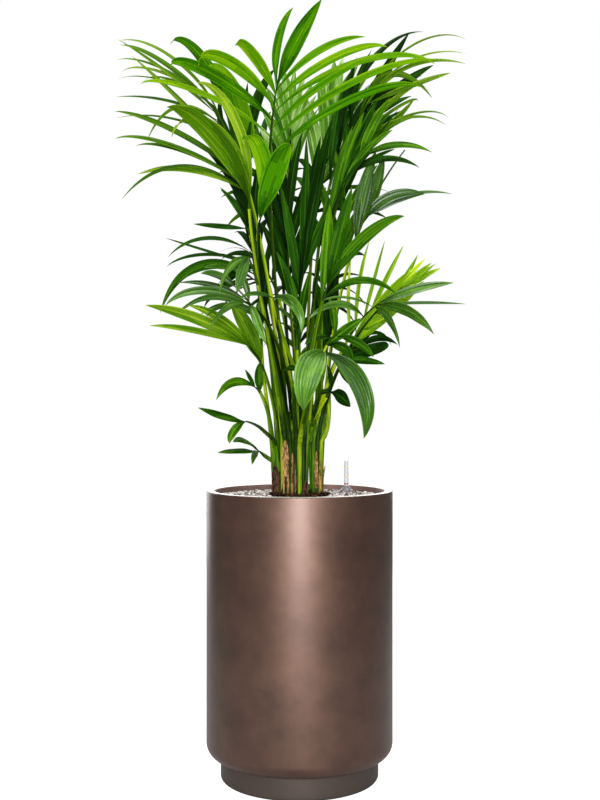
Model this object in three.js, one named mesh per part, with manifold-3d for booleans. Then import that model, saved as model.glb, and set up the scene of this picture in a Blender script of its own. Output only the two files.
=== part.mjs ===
// A kentia palm in a round planter, built together: a clump of five young palms
// whose fronds rise on long petioles, pebbles over the soil, and a water gauge.
// Millimetres, +Z up. The origin is the middle of the planter's flat underside.
// Azimuth is measured from +X towards +Y, and -Y is the front of the plant.
import * as THREE from 'three';
import { mergeVertices } from 'three/addons/utils/BufferGeometryUtils.js';
import Module from 'manifold-3d';

const wasm = await Module();
wasm.setup();

// ---- driving dimensions ----------------------------------------------------

const PLANTER_RADIUS = 195;
const PLANTER_HEIGHT = 600;
const RIM_WIDTH = 18;             // the rolled rim and the double wall under it
const RIM_ROUND = 2;
const LOWER_ROUND = 29;           // quarter round under the straight wall
const FOOT_RADIUS = 165;
const FOOT_HEIGHT = 48;
const FOOT_ROUND = 8;
const FLOOR_THICKNESS = 20;       // above the foot
const ROUND_SEGMENTS = 40;        // sides of the planter and what fills it

const CLEARANCE = 0.3;            // between pieces that touch
const SOIL_TOP = 575;             // under the pebbles
const MOUND_TOP = 594;            // bare soil in the middle, where the palms stand
const MOUND_TOP_RADIUS = 60;
const MOUND_FOOT_RADIUS = 66;
const PEBBLE_TOP = 589;

const GAUGE_PLACE = { x: 102, y: 100 };
const GAUGE_BASE_RADIUS = 15;
const GAUGE_NECK_RADIUS = 5.2;
const GAUGE_BASE_HEIGHT = 13;
const GAUGE_TUBE_RADIUS = 4.7;
const GAUGE_TOP = 657;

const FOOT_OF_PETIOLE = 3.4;      // petiole radius where it leaves its stem
const THROAT_OF_PETIOLE = 2.8;    // where the blade begins
const END_OF_RIB = 1.8;
const PETIOLE_SPACING = 8.8;      // between petiole feet on a stem's flat top
const PETIOLE_STEPS = 5;
const RIB_STEP = 45;              // rib length to a step of the blade's rib
const PETIOLE_GAP = 1.3;          // kept between petioles
const BEAD_STEP = 4;              // between the points where that gap is measured
const LEAF_THICKNESS = 0.012;     // of a leaflet's length
const LEAF_ROOT = 1.6;            // width and depth of a leaflet where it is rooted
const LONG_LEAFLET = 240;
const LEAF_GAP = 0.35;            // kept between leaflets of different fronds

// Each palm of the clump: where it stands, its radius at the soil and where
// its sheaths part into petioles.
const PALMS = {
  left: { x: -45, y: 10, radius: 11, top: 650 },
  front: { x: -26, y: -18, radius: 13, top: 700 },
  middle: { x: 5, y: -26, radius: 13, top: 690 },
  right: { x: 35, y: 12, radius: 14, top: 700 },
  back: { x: 2, y: 36, radius: 14, top: 690 },
};

// A fan is a row of leaflets along the rib. They are rooted from one part of
// the rib to another (0 is its throat, 1 its end), and their tips lie on the
// line or curve through the points given. Arch is the rise of a leaflet over
// its chord as a share of its length, and hook throws its tip over.
const fan = (count, from, to, width, arch, hook, ...tips) => (
  { count, from, to, width, arch, hook, tips }
);

// Each frond: its name, palm, tone, throat (where the blade begins), end of
// the rib, the turn of the blade's face about the rib in degrees, and fans.
const FRONDS = [
  // crown
  ['top_centre', 'front', 'bright', [-60, -90, 1275], [-45, -95, 1425], 0,
    fan(1, 0, 0, 16, 0.17, 0.2, [233, -270, 1370]),
    fan(1, 0.2, 0.2, 15, 0.14, 0.1, [261, -235, 1435]),
    fan(1, 0.4, 0.4, 15, 0.09, 0.1, [152, -250, 1441]),
    fan(1, 0.6, 0.6, 16, 0.21, 0.15, [263, -200, 1435]),
    fan(1, 0.75, 0.75, 17, 0.16, 0.15, [168, -215, 1465]),
    fan(1, 0.9, 0.9, 16, 0.18, 0.05, [129, -185, 1494]),
    fan(1, 0.3, 0.3, 12, 0.15, 0.2, [-309, -190, 1401]),
    fan(1, 0.5, 0.5, 25, 0.16, 0.4, [-245, -215, 1426]),
    fan(1, 0.68, 0.68, 26, 0.27, 0.4, [-191, -235, 1424]),
    fan(1, 0.85, 0.85, 24, 0.2, 0.4, [-122, -215, 1466]),
    fan(1, 1, 1, 18, 0.22, 0.12, [-12, -118, 1574]),
    fan(1, 1, 1, 33, 0.05, 0, [45, -105, 1595])],
  ['front_pair', 'front', 'bright', [-79, -190, 1124], [-75, -191, 1141], 0,
    fan(1, 1, 1, 36, 0.34, 0.5, [-111, -225, 1285]),
    fan(1, 1, 1, 46, 0.08, 0.25, [-18, -240, 1274])],
  ['left_high', 'front', 'olive', [-105, -20, 1220], [-180, 10, 1405], 0,
    fan(1, 0, 0, 9, 0.31, 0, [-350, -160, 1181]),
    fan(1, 0, 0, 15, 0.17, 0, [-323, -130, 1237]),
    fan(1, 0.05, 0.05, 9, 0.15, 0.15, [-334, -70, 1307]),
    fan(1, 0.05, 0.05, 11, 0.15, 0.15, [-370, -120, 1310]),
    fan(1, 0.15, 0.15, 13, 0.11, 0.1, [-375, -90, 1373]),
    fan(1, 0.3, 0.3, 12, 0.03, 0, [-354, 0, 1513]),
    fan(1, 0.5, 0.5, 7, 0.16, 0, [-386, 0, 1381]),
    fan(1, 0.7, 0.7, 8, 0.56, 0, [-320, -20, 1322]),
    fan(1, 0.8, 0.8, 7, 0.12, 0, [-386, 0, 1425]),
    fan(1, 0.8, 0.8, 8, 0.22, 0.15, [-380, 10, 1546]),
    fan(1, 0.85, 0.85, 12, 0.14, 0.15, [-380, 20, 1540]),
    fan(1, 0.9, 0.9, 9, 0.04, 0.05, [-386, 20, 1553]),
    fan(1, 0.95, 0.95, 8, 0.17, 0.15, [-388, 30, 1511]),
    fan(1, 0.95, 0.95, 8, 0.21, 0.2, [-378, 30, 1486]),
    fan(1, 1, 1, 6, 0.16, 0.1, [-388, 40, 1474]),
    fan(1, 1, 1, 9, 0.2, 0.3, [-330, 40, 1469])],
  ['left_broad', 'front', 'olive', [-100, -125, 1170], [-100, -130, 1185], 0,
    fan(1, 1, 1, 40, 0.19, 0.2, [-251, -250, 1341]),
    fan(1, 0.5, 0.5, 20, 0.52, 0.5, [-247, -205, 1291]),
    fan(1, 1, 1, 21, 0.24, 0.2, [-208, -110, 1425])],
  ['left_back_dark', 'back', 'bright', [-110, 95, 1215], [-135, 100, 1315], -35,
    fan(1, 0.8, 0.8, 27, 0.22, 0.4, [-284, 110, 1568]),
    fan(1, 0.5, 0.5, 48, 0.26, 0.4, [-212, 100, 1512]),
    fan(3, 0, 1, 24, 0.1, 0, [-230, 130, 1405], [-165, 155, 1450], [-120, 170, 1440])],
  ['back_small', 'back', 'dark', [-100, 130, 1210], [-115, 130, 1320], 0,
    fan(1, 1, 1, 27, 0.12, 0.1, [-55, 130, 1520]),
    fan(2, 0, 1, 16, 0.08, 0, [-155, 145, 1345], [-120, 145, 1490])],
  ['back_pale_left', 'back', 'pale', [-20, 145, 1265], [-20, 160, 1395], 0,
    fan(5, 0, 1, 28, 0.08, 0, [-100, 170, 1410], [-70, 185, 1490], [-35, 205, 1550]),
    fan(5, 0, 1, 20, 0.08, 0, [50, 170, 1440], [30, 185, 1500], [-5, 205, 1540])],
  ['back_pale_right', 'back', 'pale', [40, 145, 1255], [75, 160, 1425], 0,
    fan(5, 0, 1, 24, 0.06, 0, [0, 180, 1455], [35, 185, 1510], [75, 205, 1560]),
    fan(5, 0, 1, 24, 0.08, 0, [190, 180, 1485], [160, 185, 1530], [95, 205, 1570])],
  ['right_dark', 'right', 'dark', [65, 60, 1250], [150, 80, 1450], 0,
    fan(3, 0, 0.6, 16, 0.1, 0, [105, 90, 1505], [130, 95, 1530], [160, 90, 1545]),
    fan(1, 0.2, 0.2, 14, 0.12, 0, [153, 90, 1476]),
    fan(1, 0.3, 0.3, 16, 0.25, 0.15, [272, 100, 1593]),
    fan(1, 0.45, 0.45, 23, 0.08, 0, [190, 70, 1480]),
    fan(1, 0.7, 0.7, 20, 0.01, 0, [240, 90, 1590]),
    fan(1, 0.9, 0.9, 18, 0.03, 0, [205, 85, 1512]),
    fan(1, 0.5, 0.5, 22, 0.07, 0.1, [290, 70, 1512]),
    fan(3, 0.1, 0.8, 17, 0.1, 0.05, [225, 55, 1410], [245, 55, 1445], [262, 60, 1480])],
  ['right_high', 'right', 'olive', [72, 10, 1210], [140, 0, 1410], -60,
    fan(1, 0, 0, 8, 0.22, 0.2, [267, -10, 1378]),
    fan(1, 0.2, 0.2, 8, 0.33, 0.15, [310, 0, 1364]),
    fan(1, 0.3, 0.3, 6, 0.25, 0.2, [314, 0, 1381]),
    fan(1, 0.4, 0.4, 16, -0.05, 0.05, [244, 20, 1428]),
    fan(1, 0.5, 0.5, 9, 0.13, 0.4, [249, 0, 1414]),
    fan(1, 0.5, 0.5, 14, 0.09, 0.1, [240, 20, 1449]),
    fan(1, 1, 1, 12, 0.03, 0.1, [317, -10, 1473]),
    fan(1, 0.8, 0.8, 15, 0.64, 0.1, [281, 10, 1423]),
    fan(1, 0.9, 0.9, 10, 0.27, 0, [352, 10, 1497]),
    fan(1, 0.9, 0.9, 5, 0.26, 0.05, [352, 0, 1515]),
    fan(1, 1, 1, 6, 0.29, 0.15, [350, 0, 1545])],
  ['right_mid', 'middle', 'mid', [60, -60, 1145], [140, -90, 1305], 0,
    fan(4, 0, 0.8, 19, 0.05, 0, [110, -60, 1345], [150, -90, 1385], [185, -95, 1400]),
    fan(1, 0.3, 0.3, 21, 0.1, 0.05, [193, -90, 1379]),
    fan(1, 0.5, 0.5, 8, 0.01, 0, [200, -100, 1377]),
    fan(3, 0, 0.8, 14, 0.1, 0, [140, -105, 1290], [165, -105, 1315], [185, -100, 1330])],
  ['right_arcs', 'right', 'mid', [80, 30, 1205], [130, 20, 1300], 0,
    fan(1, 1, 1, 17, 0.22, 0, [281, 10, 1310]),
    fan(1, 0.6, 0.6, 16, 0.27, 0, [253, 0, 1276]),
    fan(1, 0.8, 0.8, 9, 0.04, 0.1, [202, 20, 1320]),
    fan(2, 0.3, 0.7, 10, 0.08, 0, [165, 40, 1335], [190, 40, 1360])],
  ['right_thin_rib', 'right', 'glossy', [118, 10, 1125], [222, 10, 1316], 30,
    fan(1, 0.22, 0.22, 9, 0.18, 0, [321, -10, 1219]),
    fan(1, 0.22, 0.22, 31, 0.2, 0, [262, -10, 1219]),
    fan(1, 0, 0, 29, 0.08, 0, [163, 30, 1320]),
    fan(1, 0.15, 0.15, 30, -0.05, 0, [181, 50, 1312]),
    fan(1, 0, 0, 10, 0.02, 0, [130, -10, 1225])],
  ['right_broad', 'middle', 'mid', [45, -150, 985], [55, -150, 1010], 0,
    fan(1, 1, 1, 26, 0.17, 0.12, [200, -235, 1138]),
    fan(1, 1, 1, 32, 0, 0, [102, -185, 1202]),
    fan(1, 0, 0, 26, 0.03, 0, [60, -125, 1180]),
    fan(1, 0, 0, 15, 0.32, 0, [192, -200, 990])],
  ['right_fill', 'right', 'mid', [82, 60, 1050], [95, 65, 1215], 0,
    fan(4, 0, 1, 20, 0.06, 0, [10, 40, 1205], [40, 50, 1325], [100, 60, 1415]),
    fan(4, 0, 1, 18, 0.08, 0.05, [125, 40, 1165], [160, 50, 1260], [170, 60, 1370])],
  ['left_fill', 'front', 'dark', [-95, 60, 1120], [-140, 80, 1235], 0,
    fan(4, 0, 1, 16, 0.14, 0.1, [-168, 60, 1243], [-215, 80, 1365], [-205, 90, 1445]),
    fan(4, 0, 1, 20, 0.06, 0, [-80, 80, 1330], [-115, 100, 1420], [-170, 95, 1470])],
  // middle
  ['centre_dark', 'middle', 'dark', [0, -40, 995], [5, -40, 1045], 0,
    fan(1, 1, 1, 28, 0.02, 0, [14, -30, 1335]),
    fan(2, 0, 1, 26, 0.03, 0, [40, -20, 1340], [70, -10, 1375]),
    fan(2, 0, 1, 20, 0.03, 0, [-45, 20, 1245], [95, 20, 1255])],
  ['centre_back_dark', 'back', 'dark', [-20, 60, 1005], [-25, 70, 1145], 0,
    fan(4, 0, 1, 24, 0.06, 0, [-80, 80, 1180], [-95, 90, 1290], [-60, 100, 1370]),
    fan(4, 0, 1, 24, 0.06, 0, [50, 80, 1170], [60, 90, 1290], [0, 100, 1370])],
  ['centre_blade', 'middle', 'mid', [-5, -100, 890], [-5, -100, 920], 0,
    fan(1, 1, 1, 24, 0.08, 0, [-45, -110, 1085]),
    fan(1, 0, 0, 24, 0.06, 0, [22, -60, 1060])],
  ['left_mid_high', 'left', 'mid', [-85, 35, 1030], [-105, 25, 1105], 0,
    fan(1, 0, 0, 5, 0.5, 0.05, [-175, 60, 1107]),
    fan(1, 0.1, 0.1, 14, 0.29, 0, [-254, -30, 1030]),
    fan(1, 0.3, 0.3, 20, 0.39, 0, [-288, -40, 967]),
    fan(1, 0.6, 0.6, 8, 0.19, 0.1, [-281, 10, 1069]),
    fan(1, 0.6, 0.6, 7, 0, 0.1, [-284, 30, 1133]),
    fan(1, 1, 1, 10, 0.28, 0.05, [-280, 30, 1091]),
    fan(3, 0.2, 0.9, 15, 0.2, 0.1, [-210, 60, 985], [-180, 60, 1010], [-150, 50, 1030])],
  ['left_mid', 'left', 'glossy', [-75, -25, 935], [-130, -45, 1020], 0,
    fan(1, 0.2, 0.2, 13, 0.3, 0, [-204, -60, 963]),
    fan(1, 0.3, 0.3, 14, 0.32, 0, [-252, -90, 959]),
    fan(1, 0.5, 0.5, 18, 0.26, 0.1, [-273, -80, 980]),
    fan(1, 0.7, 0.7, 14, 0.13, 0, [-249, -60, 1029]),
    fan(3, 0.2, 1, 16, 0.18, 0.1, [-75, -60, 995], [-140, -40, 1065], [-205, -40, 1050])],
  ['left_spikes', 'left', 'dark', [-105, 40, 1140], [-110, 40, 1155], 0,
    fan(1, 1, 1, 12, 0, 0, [-228, 50, 1166]),
    fan(1, 1, 1, 12, 0.07, 0, [-170, 40, 1243]),
    fan(1, 1, 1, 11, 0.13, 0, [-146, 30, 1235])],
  ['left_edge', 'left', 'dark', [-80, 14, 905], [-78, 16, 955], 0,
    fan(1, 1, 1, 32, 0.09, 0, [-107, 24, 1152]),
    fan(1, 0.5, 0.5, 24, 0, 0, [-66, 24, 1125])],
  ['right_edge', 'right', 'dark', [56, 34, 875], [58, 36, 905], 0,
    fan(1, 1, 1, 32, 0.02, 0, [80, 30, 1070]),
    fan(1, 0.3, 0.3, 34, 0.02, 0, [30, 30, 1050])],
  ['left_lime', 'left', 'olive', [-74, -30, 850], [-104, -60, 900], 45,
    fan(1, 1, 1, 14, 0.06, 0.05, [-298, -140, 936]),
    fan(1, 1, 1, 25, 0.08, 0, [-306, -140, 977]),
    fan(1, 1, 1, 19, 0.13, 0.05, [-224, -110, 979]),
    fan(1, 0.2, 0.2, 38, 0.06, 0.1, [-142, -60, 990])],
  ['front_droop_high', 'front', 'glossy', [-82, -165, 1015], [-98, -205, 1065], -15,
    fan(1, 1, 1, 19, 0.28, 0, [-151, -245, 989]),
    fan(1, 1, 1, 24, 0.1, 0, [-118, -250, 990]),
    fan(1, 0.5, 0.5, 12, 0.06, 0.2, [-180, -240, 1040])],
  ['front_droop_low', 'front', 'glossy', [-60, -150, 935], [-105, -190, 980], 0,
    fan(1, 1, 1, 23, 0.22, 0, [-173, -240, 918]),
    fan(1, 0.8, 0.8, 18, 0.3, 0.1, [-63, -240, 893]),
    fan(1, 0.2, 0.2, 12, 0.3, 0.1, [-180, -225, 945])],
  ['front_small', 'middle', 'glossy', [-40, -200, 945], [-50, -205, 985], 0,
    fan(1, 1, 1, 14, 0.25, 0.1, [-15, -240, 965]),
    fan(1, 1, 1, 24, 0.44, 0.1, [3, -245, 916]),
    fan(1, 0.6, 0.6, 10, 0.12, 0, [-5, -240, 928]),
    fan(1, 1, 1, 10, 0.2, 0.1, [-115, -240, 980])],
  ['right_arching', 'right', 'glossy', [98, -42, 910], [155, -110, 980], -75,
    fan(1, 0.95, 0.95, 24, 0.19, 0, [196, -175, 890]),
    fan(1, 1, 1, 30, 0.2, 0, [263, -175, 916]),
    fan(1, 1, 1, 7, 0.03, 0, [330, -150, 978]),
    fan(1, 1, 1, 19, 0.08, 0, [306, -140, 1021]),
    fan(1, 0.6, 0.6, 16, 0.35, 0, [17, -125, 949]),
    fan(1, 0.9, 0.9, 6, 0.18, 0.1, [45, -140, 985])],
  ['right_lime_fan', 'right', 'lime', [100, 0, 890], [215, 0, 1025], 0,
    fan(1, 0.1, 0.1, 8, -0.05, 0, [109, 10, 1090]),
    fan(1, 0.2, 0.2, 9, -0.08, 0, [149, 15, 1129]),
    fan(1, 0.3, 0.3, 9, -0.1, 0.05, [181, 20, 1128]),
    fan(1, 0.4, 0.4, 12, 0.03, 0.05, [221, 20, 1117]),
    fan(1, 0.7, 0.7, 12, -0.05, 0, [251, 20, 1098]),
    fan(4, 0.75, 1, 15, 0.02, 0, [268, 10, 1085], [280, 5, 1078], [294, 0, 1066]),
    fan(4, 0.3, 1, 17, 0.04, 0, [185, -10, 960], [230, -10, 1015], [278, 0, 1056]),
    fan(1, 0.2, 0.2, 27, 0.14, 0.05, [238, 0, 1009]),
    fan(1, 0, 0, 28, 0.02, 0, [232, 0, 1062]),
    fan(1, 0.1, 0.1, 26, 0, 0, [262, 0, 1040])],
  ['right_low_dark', 'right', 'dark', [80, 8, 875], [122, 0, 895], 50,
    fan(1, 0, 0, 27, -0.02, 0.3, [185, -20, 906]),
    fan(1, 0, 0, 18, 0.05, 0, [177, -40, 863]),
    fan(1, 1, 1, 15, 0.3, 0, [209, 30, 906]),
    fan(1, 0.5, 0.5, 9, 0.5, 0.15, [197, 40, 904]),
    fan(1, 0.5, 0.5, 20, 0.1, 0, [160, 40, 940]),
    fan(1, 0, 0, 28, 0.1, 0, [104, -30, 820])],
  ['right_low_mid', 'middle', 'mid', [55, -90, 900], [85, -100, 930], 70,
    fan(1, 0, 0, 24, 0.04, 0, [127, -110, 953]),
    fan(1, 0, 0, 21, 0.24, 0.1, [104, -140, 866]),
    fan(1, 0.5, 0.5, 18, 0.1, 0, [60, -60, 1000]),
    fan(1, 0.5, 0.5, 16, 0.2, 0.1, [10, -110, 900]),
    fan(1, 0.6, 0.6, 18, 0.16, 0, [148, -120, 874])],
  // low
  ['front_broad_pair', 'middle', 'glossy', [40, -225, 860], [46, -232, 878], -30,
    fan(1, 1, 1, 54, 0.5, 0.1, [8, -290, 769]),
    fan(1, 1, 1, 38, 0.34, 0.05, [119, -290, 717])],
  ['low_left_pair', 'left', 'mid', [-82, -20, 805], [-92, -22, 815], 60,
    fan(1, 1, 1, 19, 0.31, 0, [-168, -100, 788]),
    fan(1, 0, 0, 20, 0.02, 0, [-84, -30, 866]),
    fan(1, 1, 1, 9, 0.02, 0, [-112, -50, 852])],
  ['low_left_long', 'left', 'mid', [-77, -36, 728], [-110, -54, 745], 0,
    fan(1, 1, 1, 20, -0.02, 0, [-204, -110, 774]),
    fan(1, 1, 1, 18, 0.17, 0.2, [-140, -110, 702])],
  ['low_left_small', 'left', 'mid', [-74, 14, 672], [-84, 6, 681], 0,
    fan(1, 1, 1, 22, 0.16, 0, [-134, -100, 704]),
    fan(1, 1, 1, 15, 0.03, 0, [-165, -110, 683]),
    fan(1, 1, 1, 16, 0.1, 0, [-96, -90, 658])],
  ['low_right_pair', 'right', 'dark', [55, -62, 795], [62, -66, 805], 40,
    fan(1, 1, 1, 30, 0.1, 0, [102, -110, 775]),
    fan(1, 1, 1, 20, 0.15, 0, [35, -110, 800]),
    fan(1, 1, 1, 18, 0.12, 0, [55, -90, 860])],
  ['centre_small', 'middle', 'mid', [-10, -140, 820], [-5, -145, 845], 0,
    fan(1, 1, 1, 22, 0.5, 0.25, [-15, -190, 781]),
    fan(1, 1, 1, 12, 0.2, 0.1, [-30, -190, 845])],
  ['young_spear', 'middle', 'dark', [24, -46, 735], [28, -51, 750], 0,
    fan(1, 1, 1, 14, 0, 0, [40, -85, 805])],
  // back of the crown
  ['back_high_left', 'back', 'mid', [-55, 130, 1195], [-85, 195, 1310], 0,
    fan(5, 0.1, 1, 17, 0.16, 0.05, [-175, 280, 1185], [-185, 325, 1335], [-120, 325, 1455]),
    fan(5, 0.1, 1, 17, 0.16, 0.05, [25, 280, 1280], [0, 325, 1385], [-60, 330, 1480])],
  ['back_high_right', 'back', 'mid', [10, 130, 1185], [60, 195, 1300], 0,
    fan(5, 0.1, 1, 17, 0.16, 0.05, [-35, 280, 1255], [-10, 325, 1360], [50, 325, 1455]),
    fan(5, 0.1, 1, 17, 0.16, 0.05, [200, 270, 1210], [200, 315, 1335], [120, 325, 1440])],
  ['back_mid_left', 'back', 'dark', [-45, 120, 1010], [-105, 215, 1120], 0,
    fan(5, 0.1, 1, 17, 0.2, 0.05, [-145, 240, 965], [-195, 310, 1055], [-150, 340, 1190]),
    fan(5, 0.1, 1, 17, 0.2, 0.05, [-20, 280, 1045], [-40, 325, 1170], [-115, 340, 1255])],
  ['back_mid_right', 'back', 'dark', [50, 105, 985], [90, 210, 1095], 0,
    fan(5, 0.1, 1, 17, 0.2, 0.05, [-20, 255, 1020], [0, 315, 1120], [75, 340, 1230]),
    fan(5, 0.1, 1, 17, 0.2, 0.05, [135, 235, 965], [165, 310, 1065], [140, 340, 1205])],
  ['back_low', 'back', 'mid', [0, 95, 875], [-5, 195, 935], 0,
    fan(4, 0.1, 1, 16, 0.22, 0.05, [-85, 255, 905], [-80, 315, 980], [-35, 340, 1030]),
    fan(4, 0.1, 1, 16, 0.22, 0.05, [70, 245, 895], [85, 305, 965], [15, 340, 1030])],
];

// ---- materials ---------------------------------------------------------------

const paint = (color, roughness = 0.6, metalness = 0) => (
  new THREE.MeshStandardMaterial({ color, roughness, metalness })
);
const BRONZE = paint('#6b5a52', 0.35, 0.6);
const SOIL = paint('#2b211b', 0.95);
const PEBBLES = paint('#c9c4b8', 0.7);
const CLEAR = paint('#d8dcdc', 0.2);
const STEM = paint('#5c7a2a', 0.6);
const LEAF_TONES = {
  bright: paint('#4f8f1c'),
  mid: paint('#3c6e2d'),
  dark: paint('#1d3f16'),
  olive: paint('#5b7a22'),
  pale: paint('#93b083'),
  lime: paint('#96b92c'),
  glossy: paint('#46883a', 0.4),
};

// ---- solids --------------------------------------------------------------------

const UP = new THREE.Vector3(0, 0, 1);
const vector = (place) => new THREE.Vector3(...place);
const along = (a, direction, distance) => a.clone().addScaledVector(direction, distance);

function closedGeometry(points, triangles) {
  const geometry = new THREE.BufferGeometry();
  geometry.setAttribute('position', new THREE.Float32BufferAttribute(points.flat(), 3));
  geometry.setIndex(triangles.flat());
  return geometry;
}

function volume(geometry) {
  const [a, b, c] = [new THREE.Vector3(), new THREE.Vector3(), new THREE.Vector3()];
  const { position } = geometry.attributes;
  const corners = geometry.index.array;
  let total = 0;
  for (let i = 0; i < corners.length; i += 3) {
    [a, b, c].forEach((corner, k) => corner.fromBufferAttribute(position, corners[i + k]));
    total += a.dot(b.cross(c)) / 6;
  }
  return total;
}

// Shares the vertices of a closed geometry and turns its faces out.
function welded(geometry) {
  geometry.deleteAttribute('normal');
  geometry.deleteAttribute('uv');
  const merged = mergeVertices(geometry, 1e-4);
  if (volume(merged) < 0) merged.setIndex(Array.from(merged.index.array).reverse());
  merged.computeVertexNormals();
  return merged;
}

function toSolid(geometry) {
  return new wasm.Manifold(new wasm.Mesh({
    numProp: 3,
    vertProperties: Float32Array.from(geometry.attributes.position.array),
    triVerts: Uint32Array.from(geometry.index.array),
  }));
}

function toGeometry(solid) {
  const mesh = solid.getMesh();
  const geometry = new THREE.BufferGeometry();
  geometry.setAttribute('position', new THREE.BufferAttribute(mesh.vertProperties, 3));
  geometry.setIndex(new THREE.BufferAttribute(mesh.triVerts, 1));
  geometry.computeVertexNormals();
  return geometry;
}

function turned(profile, segments = ROUND_SEGMENTS) {
  const points = profile.map(([radius, height]) => new THREE.Vector2(radius, height));
  const geometry = new THREE.LatheGeometry(points, segments);
  return welded(geometry.rotateX(Math.PI / 2));
}

// A quarter round in a profile, from one angle to another about its centre.
function round(centreRadius, centreHeight, radius, fromDegrees, toDegrees, steps = 4) {
  return Array.from({ length: steps + 1 }, (_, i) => {
    const angle = THREE.MathUtils.degToRad(
      fromDegrees + ((toDegrees - fromDegrees) * i) / steps,
    );
    return [
      centreRadius + radius * Math.cos(angle),
      centreHeight + radius * Math.sin(angle),
    ];
  });
}

// ---- planter, soil, pebbles and gauge ------------------------------------------

const INNER_RADIUS = PLANTER_RADIUS - RIM_WIDTH;
const FLOOR_TOP = FOOT_HEIGHT + FLOOR_THICKNESS;
const RIM_EDGE = PLANTER_HEIGHT - RIM_ROUND;

function planter() {
  return turned([
    [0, 0],
    ...round(FOOT_RADIUS - FOOT_ROUND, FOOT_ROUND, FOOT_ROUND, -90, 0, 3),
    [FOOT_RADIUS, FOOT_HEIGHT],
    ...round(PLANTER_RADIUS - LOWER_ROUND, FOOT_HEIGHT + LOWER_ROUND, LOWER_ROUND, -85, 0, 5),
    ...round(PLANTER_RADIUS - RIM_ROUND, RIM_EDGE, RIM_ROUND, 0, 90, 1),
    ...round(INNER_RADIUS + RIM_ROUND, RIM_EDGE, RIM_ROUND, 90, 180, 1),
    [INNER_RADIUS, FLOOR_TOP],
    [0, FLOOR_TOP],
  ]);
}

function growingMedium() {
  const radius = INNER_RADIUS - CLEARANCE;
  return turned([
    [0, FLOOR_TOP + CLEARANCE],
    [radius, FLOOR_TOP + CLEARANCE],
    [radius, SOIL_TOP],
    [MOUND_FOOT_RADIUS, SOIL_TOP],
    [MOUND_TOP_RADIUS, MOUND_TOP],
    [0, MOUND_TOP],
  ]);
}

function pebbleBed() {
  const inner = MOUND_FOOT_RADIUS + 1;
  const outer = INNER_RADIUS - CLEARANCE;
  const bottom = SOIL_TOP + CLEARANCE;
  return turned([
    [inner, bottom], [outer, bottom], [outer, PEBBLE_TOP], [inner, PEBBLE_TOP], [inner, bottom],
  ]);
}

const GAUGE_FOOT = PEBBLE_TOP + CLEARANCE;

function gaugeBase() {
  const neck = GAUGE_FOOT + GAUGE_BASE_HEIGHT;
  return turned([
    [0, GAUGE_FOOT],
    [GAUGE_BASE_RADIUS, GAUGE_FOOT],
    [GAUGE_BASE_RADIUS, GAUGE_FOOT + 2],
    [GAUGE_BASE_RADIUS * 0.6, GAUGE_FOOT + GAUGE_BASE_HEIGHT * 0.45],
    [GAUGE_NECK_RADIUS, neck],
    [0, neck],
  ], 20);
}

function gaugeTube() {
  const bottom = GAUGE_FOOT + GAUGE_BASE_HEIGHT + CLEARANCE;
  return turned([
    [0, bottom], [GAUGE_TUBE_RADIUS, bottom], [GAUGE_TUBE_RADIUS, GAUGE_TOP], [0, GAUGE_TOP],
  ], 16);
}

// ---- stems -----------------------------------------------------------------------

const STEM_SIDES = 12;
const STEM_FLARE = 2.5;           // wider at the soil

// Radius of the ring that petiole feet stand on, round the one in the middle.
function footRing(ringCount) {
  if (ringCount < 1) return 0;
  const ring = PETIOLE_SPACING / (2 * Math.sin(Math.PI / Math.max(ringCount, 2)));
  return Math.max(PETIOLE_SPACING, ring);
}

function stem(palm, ringCount) {
  const bottom = MOUND_TOP + CLEARANCE;
  const height = palm.top - bottom;
  const topRadius = footRing(ringCount) + FOOT_OF_PETIOLE + 0.5;
  const shape = turned([
    [0, bottom],
    [palm.radius + STEM_FLARE, bottom],
    [palm.radius, bottom + height * 0.3],
    [Math.max(palm.radius * 0.95, topRadius * 0.85), bottom + height * 0.7],
    [topRadius, palm.top],
    [0, palm.top],
  ], STEM_SIDES);
  return shape.translate(palm.x, palm.y, 0);
}

// ---- fronds ------------------------------------------------------------------------

// A small seeded generator, so that every build grows the same palm.
function seeded(seed) {
  let state = seed >>> 0;
  return () => {
    state = (state + 0x6d2b79f5) >>> 0;
    let t = state;
    t = Math.imul(t ^ (t >>> 15), t | 1);
    t ^= t + Math.imul(t ^ (t >>> 7), t | 61);
    return ((t ^ (t >>> 14)) >>> 0) / 4294967296;
  };
}

function hermite(a, tangentA, b, tangentB, steps) {
  const reach = a.distanceTo(b);
  return Array.from({ length: steps + 1 }, (_, i) => {
    const s = i / steps;
    const s2 = s * s;
    const s3 = s2 * s;
    return new THREE.Vector3()
      .addScaledVector(a, 2 * s3 - 3 * s2 + 1)
      .addScaledVector(tangentA, reach * (s3 - 2 * s2 + s))
      .addScaledVector(b, 3 * s2 - 2 * s3)
      .addScaledVector(tangentB, reach * (s3 - s2));
  });
}

// The petiole from its foot to the throat, and the rib from there to its end.
// A bow leans the foot sideways and outwards, so that petioles pass each other.
function midribs(foot, throat, end, [sideways, outwards]) {
  const rise = throat.clone().sub(foot).normalize();
  const chord = end.clone().sub(throat).normalize();
  const out = new THREE.Vector3(rise.x, rise.y, 0).normalize();
  const atFoot = UP.clone().multiplyScalar(0.6).addScaledVector(rise, 0.4)
    .addScaledVector(out, outwards)
    .addScaledVector(UP.clone().cross(out), sideways)
    .normalize();
  const atThroat = rise.clone().add(chord).normalize();
  const atEnd = chord.clone().multiplyScalar(2 * chord.dot(atThroat)).sub(atThroat).normalize();
  const ribSteps = Math.max(1, Math.min(4, Math.round(throat.distanceTo(end) / RIB_STEP)));
  return {
    petiole: hermite(foot, atFoot, throat, atThroat, PETIOLE_STEPS),
    rib: hermite(throat, atThroat, end, atEnd, ribSteps),
  };
}

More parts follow.
